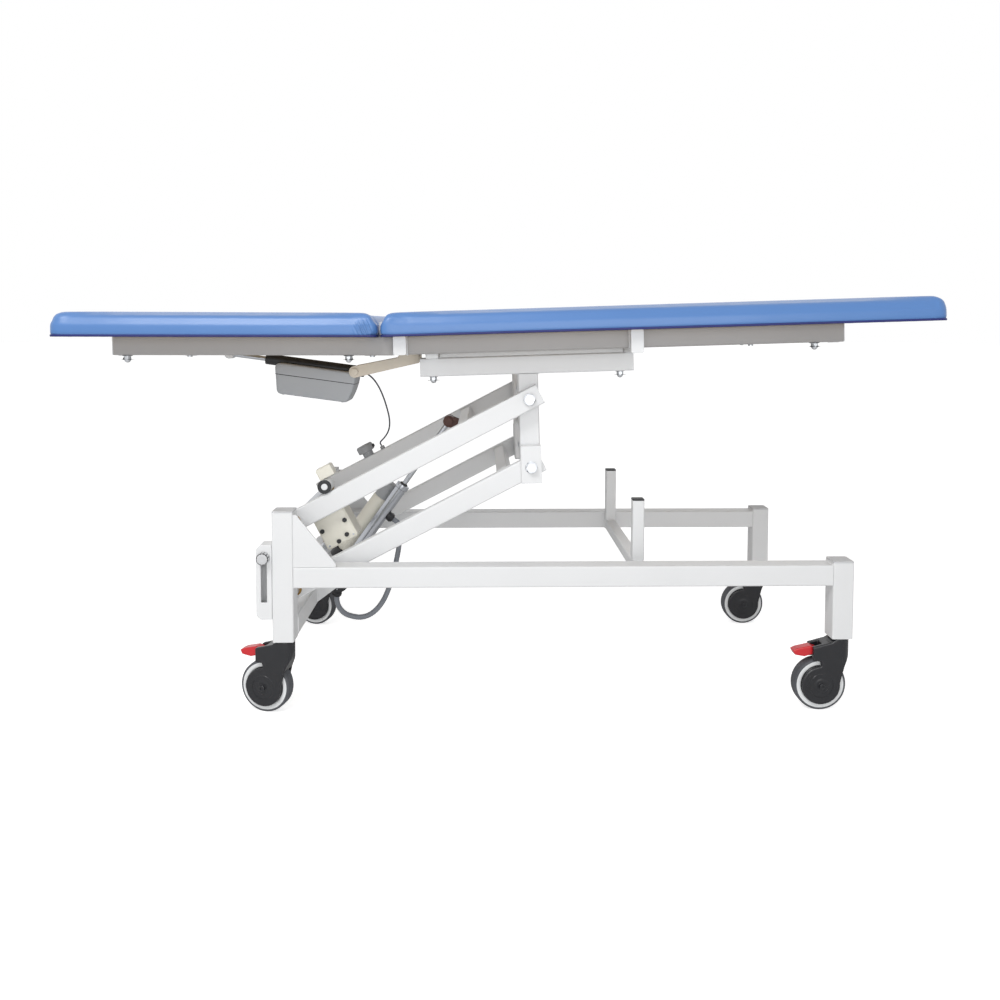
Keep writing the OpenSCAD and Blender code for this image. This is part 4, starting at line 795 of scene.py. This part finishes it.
# Each pad's name, length, end beside the gap, own frame, body and slope
pads = (("seat", seat_length, 0.0, seat_pad_at, "carriage", seat_slope),
        ("backrest", back_length, back_length, back_pad_at, "backrest", 0.0))


def plywood(name, raised):
    """Birch ply: pale face veneer with grain drawn out along the board, and on the edges
    plies that change from light to dark with the height above the frame, z mod 1.36 mm."""
    mat, tree, shader = blank(name)
    place = added(tree, "TexCoord", output="Object")
    level = added(tree, "Mapping", {"Vector": place, "Rotation": (0, math.radians(raised), 0)})
    height = added(tree, "SeparateXYZ", {"Vector": level}, "Z")
    ply = calc("MULTIPLY", height, 1 / 0.00136)
    step = calc("PINGPONG", ply, 2.0)
    dark = ranged(step, 0.9, 1.1, 0, 0.55)
    drawn = added(tree, "Mapping", {"Vector": level, "Scale": (5, 60, 60)})
    grain = noise(drawn, 3.0, 8.0, Distortion=0.8)
    streak = ranged(grain, 0.35, 0.7, 0, 0.5)
    both = calc("MAXIMUM", dark, streak)
    tint = mixed(both, srgb(214, 186, 142), srgb(150, 112, 72))
    relief = raised_by(grain, 0.2, 0.0003)
    set_inputs(shader, {"Base Color": tint, "Normal": relief, "Roughness": 0.6})
    return mat


def pad_loop(length, inset, gap):
    """Rounded rectangle drawn in by inset, in the pad's frame: its corners are tighter at the
    end x = gap, beside the other pad."""
    loop = []
    for x_side, y_side in ((1, 1), (-1, 1), (-1, -1), (1, -1)):
        r = (gap_corner if (gap > 0) == (x_side > 0) else pad_corner) - inset / 2
        turn = math.atan2(y_side, x_side) + np.radians(np.linspace(-45, 45, 8))
        middle = (length / 2 + x_side * (length / 2 - inset - r),
                  y_side * (pad_width / 2 - inset - r))
        loop.append(np.stack([np.cos(turn), np.sin(turn)], 1) * r + middle)
    return np.vstack(loop)


for name, length, gap, to_room, body, slope in pads:
    piece(name + "_ply_board", [slab(pad_loop(length, board_inset, gap), 0, 15, 1.0)],
          plywood("birch_ply_" + name, slope), body,
          [name + "_board"], at=to_room)


# Cushions: firm foam on the boards under blue upholstery vinyl, pulled tight over the edges,
# folded at the corners and stapled below. The foam pushes the cover out into a low crown.
vinyl_blue = srgb(82, 126, 186)
vinyl, tree, shader = blank("blue_vinyl")
place = added(tree, "TexCoord", output="Object")
wide = noise(place, 2.4, 5.0)
tone = mixed(wide, shade(vinyl_blue, 1.06), shade(vinyl_blue, 0.92))
pebble = added(tree, "TexVoronoi", {"Vector": place, "Scale": 780.0, "Smoothness": 0.6},
               feature="SMOOTH_F1")
pores = noise(place, 1500.0, 2.0)
leather = calc("ADD", pebble, pores)
relief = raised_by(leather, 0.16, 0.0003)
slack = noise(place, 9.0, 2.0)
relief = raised_by(slack, 0.1, 0.004, Normal=relief)
# Fine folds over the two corners of the backrest's pad beside the gap
far = [added(tree, "VectorMath", {0: place, 1: tuple(corner)}, "Value", operation="DISTANCE")
       for corner in hinge_at([(-34, -350, -8), (-34, 350, -8)])]
nearest = calc("MINIMUM", far[0], far[1])
near_corner = ranged(nearest, 0.026, 0.008)
tilted = added(tree, "Mapping", {"Vector": place, "Rotation": (0, math.radians(24), 0)})
folds = added(tree, "TexWave", {"Vector": tilted, "Scale": 36.0, "Distortion": 1.2,
                                "Detail": 1.0}, "Fac")
creased = calc("MULTIPLY", folds, near_corner)
relief = raised_by(creased, 0.9, 0.003, Normal=relief)
gloss = ranged(wide, 0, 1, 0.33, 0.43)
set_inputs(shader, {"Base Color": tone, "Roughness": gloss, "Normal": relief,
                          "Coat Weight": 0.2, "Coat Roughness": 0.22})


most_swell, pad_voxel, held_below, last_frame, hem = 0.004, 0.008, 0.016, 16, 20.0
plates_from, plates_to = 258.0, 285.0


def inside_by(p, length, gap):
    """How far points lie inside the pad's outline, and the outline's outward direction there:
    the distance to a rectangle shrunk by the corner's radius, less that radius."""
    from_middle = p[:, :2] - (length / 2, 0)
    r = np.where((from_middle[:, 0] > 0) == (gap > 0), gap_corner, pad_corner)
    over = np.abs(from_middle) - np.stack([length / 2 - r, pad_width / 2 - r], 1)
    corner = np.hypot(np.maximum(over[:, 0], 0), np.maximum(over[:, 1], 0))
    away = np.where((over > 0).any(1)[:, None],
                    np.maximum(over, 0) / np.maximum(corner, 1e-9)[:, None],
                    np.eye(2)[np.argmax(over, 1)])
    return r - np.where(corner > 0, corner, over.max(1)), away * np.sign(from_middle)


def pad_block(length, gap):
    """Foam block with its board, before it swells: rings of a rounded rectangle that rise
    from the underside, round over at the top by 1 - cos, and close in a low crown whose
    height is 1 - share^3 of the way out."""
    a = np.radians(np.linspace(0, 90, 8))
    rings = [(6, 0.0), (2.2, 0.6), (1.2, 3.0), (1.2, 14.0), (2.4, 34.0)]
    rings += [(2.4 + 17 * (1 - math.cos(t)), 34 + 17 * math.sin(t)) for t in a[1:]]
    rows = [np.c_[pad_loop(length, d, gap), np.full(32, z)] for d, z in rings]
    inner = rows[-1][:, :2] - (length / 2, 0)
    for share in (0.85, 0.7, 0.5, 0.3, 0.15):
        crown = np.full(32, 51 + 3.5 * (1 - share**3))
        rows.append(np.c_[inner * share + (length / 2, 0), crown])
    verts, faces = net(np.stack(rows))
    return verts / 1000, faces


def over_gap(p, gap, bulge):
    """How far points bulge along X over the gap between the pads: in full at the end
    x = gap, fading over 45 mm, and not in a notch round the hinge plates, whose edges
    ease by 3 t^2 - 2 t^3."""
    near_gap = np.clip(1 - np.abs(gap - p[:, 0]) / 45, 0, 1) ** 0.7
    y = np.abs(p[:, 1])
    clear = np.maximum(np.clip((plates_from - y) / 9, 0, 1), np.clip((y - plates_to) / 9, 0, 1))
    return (1 if gap > 0 else -1) * bulge * near_gap * clear * clear * (3 - 2 * clear)


def swelled(obj):
    """Points of a block after cloth pressure with the part round the board held, each
    point's move m kept to most tanh(m / most)."""
    start = vectors(obj.data.vertices)
    held = obj.vertex_groups.new(name="held")
    held.add(np.flatnonzero(start[:, 2] < held_below).tolist(), 1.0, "REPLACE")
    fabric = with_all(
        obj.modifiers.new("cloth", "CLOTH").settings, quality=5, mass=0.25,
        tension_stiffness=12, compression_stiffness=12, shear_stiffness=5,
        bending_stiffness=0.6, shrink_min=-0.02, use_pressure=True,
        uniform_pressure_force=4, vertex_group_mass="held")
    fabric.effector_weights.gravity = 0
    for step in range(1, last_frame + 1):
        bpy.context.scene.frame_set(step)
    after = obj.evaluated_get(bpy.context.evaluated_depsgraph_get()).data
    move = vectors(after.vertices) - start
    far = np.linalg.norm(move, axis=1)[:, None] + 1e-9
    obj.modifiers.clear()
    obj.vertex_groups.clear()
    bpy.context.scene.frame_set(1)
    return start + move / far * most_swell * np.tanh(far / most_swell)


def cushion(name, body, length, to_room, gap):
    """Block refilled with even faces and swelled, then hemmed below, puckered round its
    corners and creased on the sides beside the gap between the pads."""
    obj = piece(name + "_pad", [pad_block(length, gap)], vinyl, None,
                [name + "_cushion"], sharp=180)
    skin = refilled(obj, pad_voxel).data
    normal = vectors(skin.vertices, "normal")
    p = swelled(obj) * 1000
    # The cover stands outside the board's edge and no farther in than its block above it
    inside, away = inside_by(p, length, gap)
    under = (p[:, 2] < 3.2) & (inside > 5.5)
    wall = ~under & (p[:, 2] < 30) & (inside < 16)
    deepest = np.interp(p[:, 2], (0, 3, 16, 30), (1.4, 1.0, 0.8, 1.6))
    p[:, :2] += away * (wall * np.maximum(inside - deepest, 0))[:, None]
    # The foam is a little thicker towards the pad's far end
    p[:, 2] += 2.4 * np.clip(p[:, 2] / 40 - 0.4, 0, 1) * np.abs(p[:, 0] - gap) / seat_length
    # Hem: the cover's edge turned under the board, and the bare board inside it
    p[:, 2] = np.where(under, np.where(inside > hem, 3.0, -0.7), p[:, 2])
    # Its end bulges over the gap between the pads, most at half height
    bulge = np.interp(p[:, 2], (0, 6, 26, 38, 54), (6.0, 8.0, 7.6, 3.4, 2.6))
    p[:, 0] += over_gap(p, gap, bulge * ~under)
    # Puckers: three and a half waves in each quarter turn of a far corner, fading upwards
    low = np.clip(1 - p[:, 2] / 28, 0, 1) * np.clip(p[:, 2] / 6, 0, 1)
    far_x = length - gap
    turned_by = np.arctan2(np.abs(away[:, 1]), np.abs(away[:, 0]))
    at_corner = (np.abs(p[:, 0] - far_x) < pad_corner) & (away[:, 0] != 0) & (away[:, 1] != 0)
    depth = 1.4 * (0.5 - 0.5 * np.cos(14 * turned_by)) * low * at_corner
    depth *= np.clip(1 - inside / 14, 0, 1)
    p[:, :2] -= away * depth[:, None]
    # Creases: slanting waves 15 mm apart on both sides beside the gap, and a slow slackness
    beside = np.exp(-((np.abs(p[:, 0] - gap) - 30) / 24) ** 2) * np.clip(1 - inside / 10, 0, 1)
    slant = np.sin(2 * np.pi * (p[:, 0] + 0.8 * p[:, 2]) / 15)
    slack = 0.35 * np.sin(p[:, 0] / 61) + 0.25 * np.sin(p[:, 0] / 27 + 1.3)
    side_face = (np.abs(normal[:, 1]) > 0.5) * np.clip(p[:, 2] / 8, 0, 1)
    p[:, 1] += np.sign(p[:, 1]) * side_face * (0.9 * beside * (slant - 0.4) + slack - 0.3)
    skin.vertices.foreach_set("co", to_room(p).ravel())
    skin.update()
    with_all(obj.modifiers.new("finer", "SUBSURF"), levels=1, render_levels=1)
    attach(obj, body)


for name, length, gap, to_room, body, slope in pads:
    cushion(name, body, length, to_room, gap)


# Painted shade: a navy band 5 mm high round the lower edge of each pad, its dark colour standing
# in for the shade where the cover turns under. It follows the pad's outline.
navy = surface("navy_painted_shade", (26, 34, 104), 0.5, 900, 0.15, fleck=0.04, cloud=12)


def painted_shade_band(length, gap):
    """Band with rounded edges along the pad's outline: rows at the band's own profile, each
    offset from the outline, which bulges over the gap as the cover does."""
    at, rows = np.arange(0, 32, 0.0625), []
    for inset, z in ((4.5, -1.3), (1.2, -1.3), (0.5, -0.6), (0.3, 1.4), (0.4, 3.2), (1.0, 4.0),
                     (4.5, 4.0)):
        loop = [np.interp(at, np.arange(33), np.r_[side, side[0]])
                for side in pad_loop(length, inset, gap).T]
        loop = np.stack([*loop, np.full(len(at), z)], 1)
        loop[:, 0] += over_gap(loop, gap, 6.8)
        rows.append(loop)
    return net(np.stack(rows), ends="ring")


for name, length, gap, to_room, body, slope in pads:
    piece(name + "_binding", [painted_shade_band(length, gap)], navy, body, sharp=60,
          at=to_room)


# Staples: bright wire staples 11 mm wide that hold the cover's hem under each board. They
# are driven in a row along the board's edge.
def staples(length):
    """A staple every 38 mm on a rounded rectangle 9 mm inside the pad's outline."""
    loop = round_loop(length - 18, pad_width - 18, 26, 8) + (length / 2, 0)
    line = evenly(np.c_[np.vstack([loop, loop[:1]]), np.full(len(loop) + 1, -1.0)], 38)[:-1]
    ahead = np.roll(line, -1, 0) - np.roll(line, 1, 0)
    ahead = ahead / np.linalg.norm(ahead, axis=1)[:, None] * 5.5
    return [tube(np.stack([p - d, p, p + d]), 0.55, 6) for p, d in zip(line, ahead)]


for name, length, gap, to_room, body, slope in pads:
    piece(name + "_staples", staples(length), bright_steel, body, at=to_room)


# The room: a plain pale floor that keeps a soft shadow and reads white to the camera, white
# all round, a lamp above the front left and a broad soft one low in front.
mesh = bpy.data.meshes.new("floor")
mesh.from_pydata([(-30, -12, 0), (30, -12, 0), (30, 60, 0), (-30, 60, 0)], [], [(0, 1, 2, 3)])
floor_pale, tree, shader = blank("floor_pale")
is_camera = added(tree, "LightPath", output="Is Camera Ray")
glow = calc("MULTIPLY", is_camera, 0.66)
set_inputs(shader, {"Base Color": (0.86, 0.86, 0.86, 1), "Roughness": 0.9,
                          "Emission Color": (1, 1, 1, 1), "Emission Strength": glow})
clear = added(tree, "BsdfTransparent")
below = added(tree, "NewGeometry", output="Backfacing")
either = added(tree, "MixShader", {0: below, 1: shader.outputs[0], 2: clear})
set_inputs(tree.nodes["Material Output"], {"Surface": either})
floor = bpy.data.objects.new("floor", mesh)
mesh.materials.append(floor_pale)
bpy.context.scene.collection.objects.link(floor)

world = bpy.data.worlds.new("room")
bpy.context.scene.world = world
world.use_nodes = True
tree = world.node_tree
seen = added(tree, "LightPath", output="Is Camera Ray")
for ray in ("Is Glossy Ray", "Is Transmission Ray"):
    seen = calc("MAXIMUM", seen, added(tree, "LightPath", output=ray))
reach = ranged(seen, 0, 1, 0.45, 1.0)
set_inputs(tree.nodes["Background"], {"Color": (1, 1, 1, 1), "Strength": reach})


def lamp(name, stand, aim, size, power):
    """Square area lamp that stands at one point and faces another."""
    light = with_all(bpy.data.lights.new(name, "AREA"), size=size, energy=power)
    obj = bpy.data.objects.new(name, light)
    obj.location = stand
    obj.rotation_euler = (Vector(aim) - Vector(stand)).to_track_quat("-Z", "Y").to_euler()
    bpy.context.scene.collection.objects.link(obj)


lamp("key", (-1.4, -2.4, 3.6), (0, 0, 0.6), 1.5, 71)
lamp("front", (0.3, -4.4, 0.8), (0, 0, 0.5), 3.4, 82)
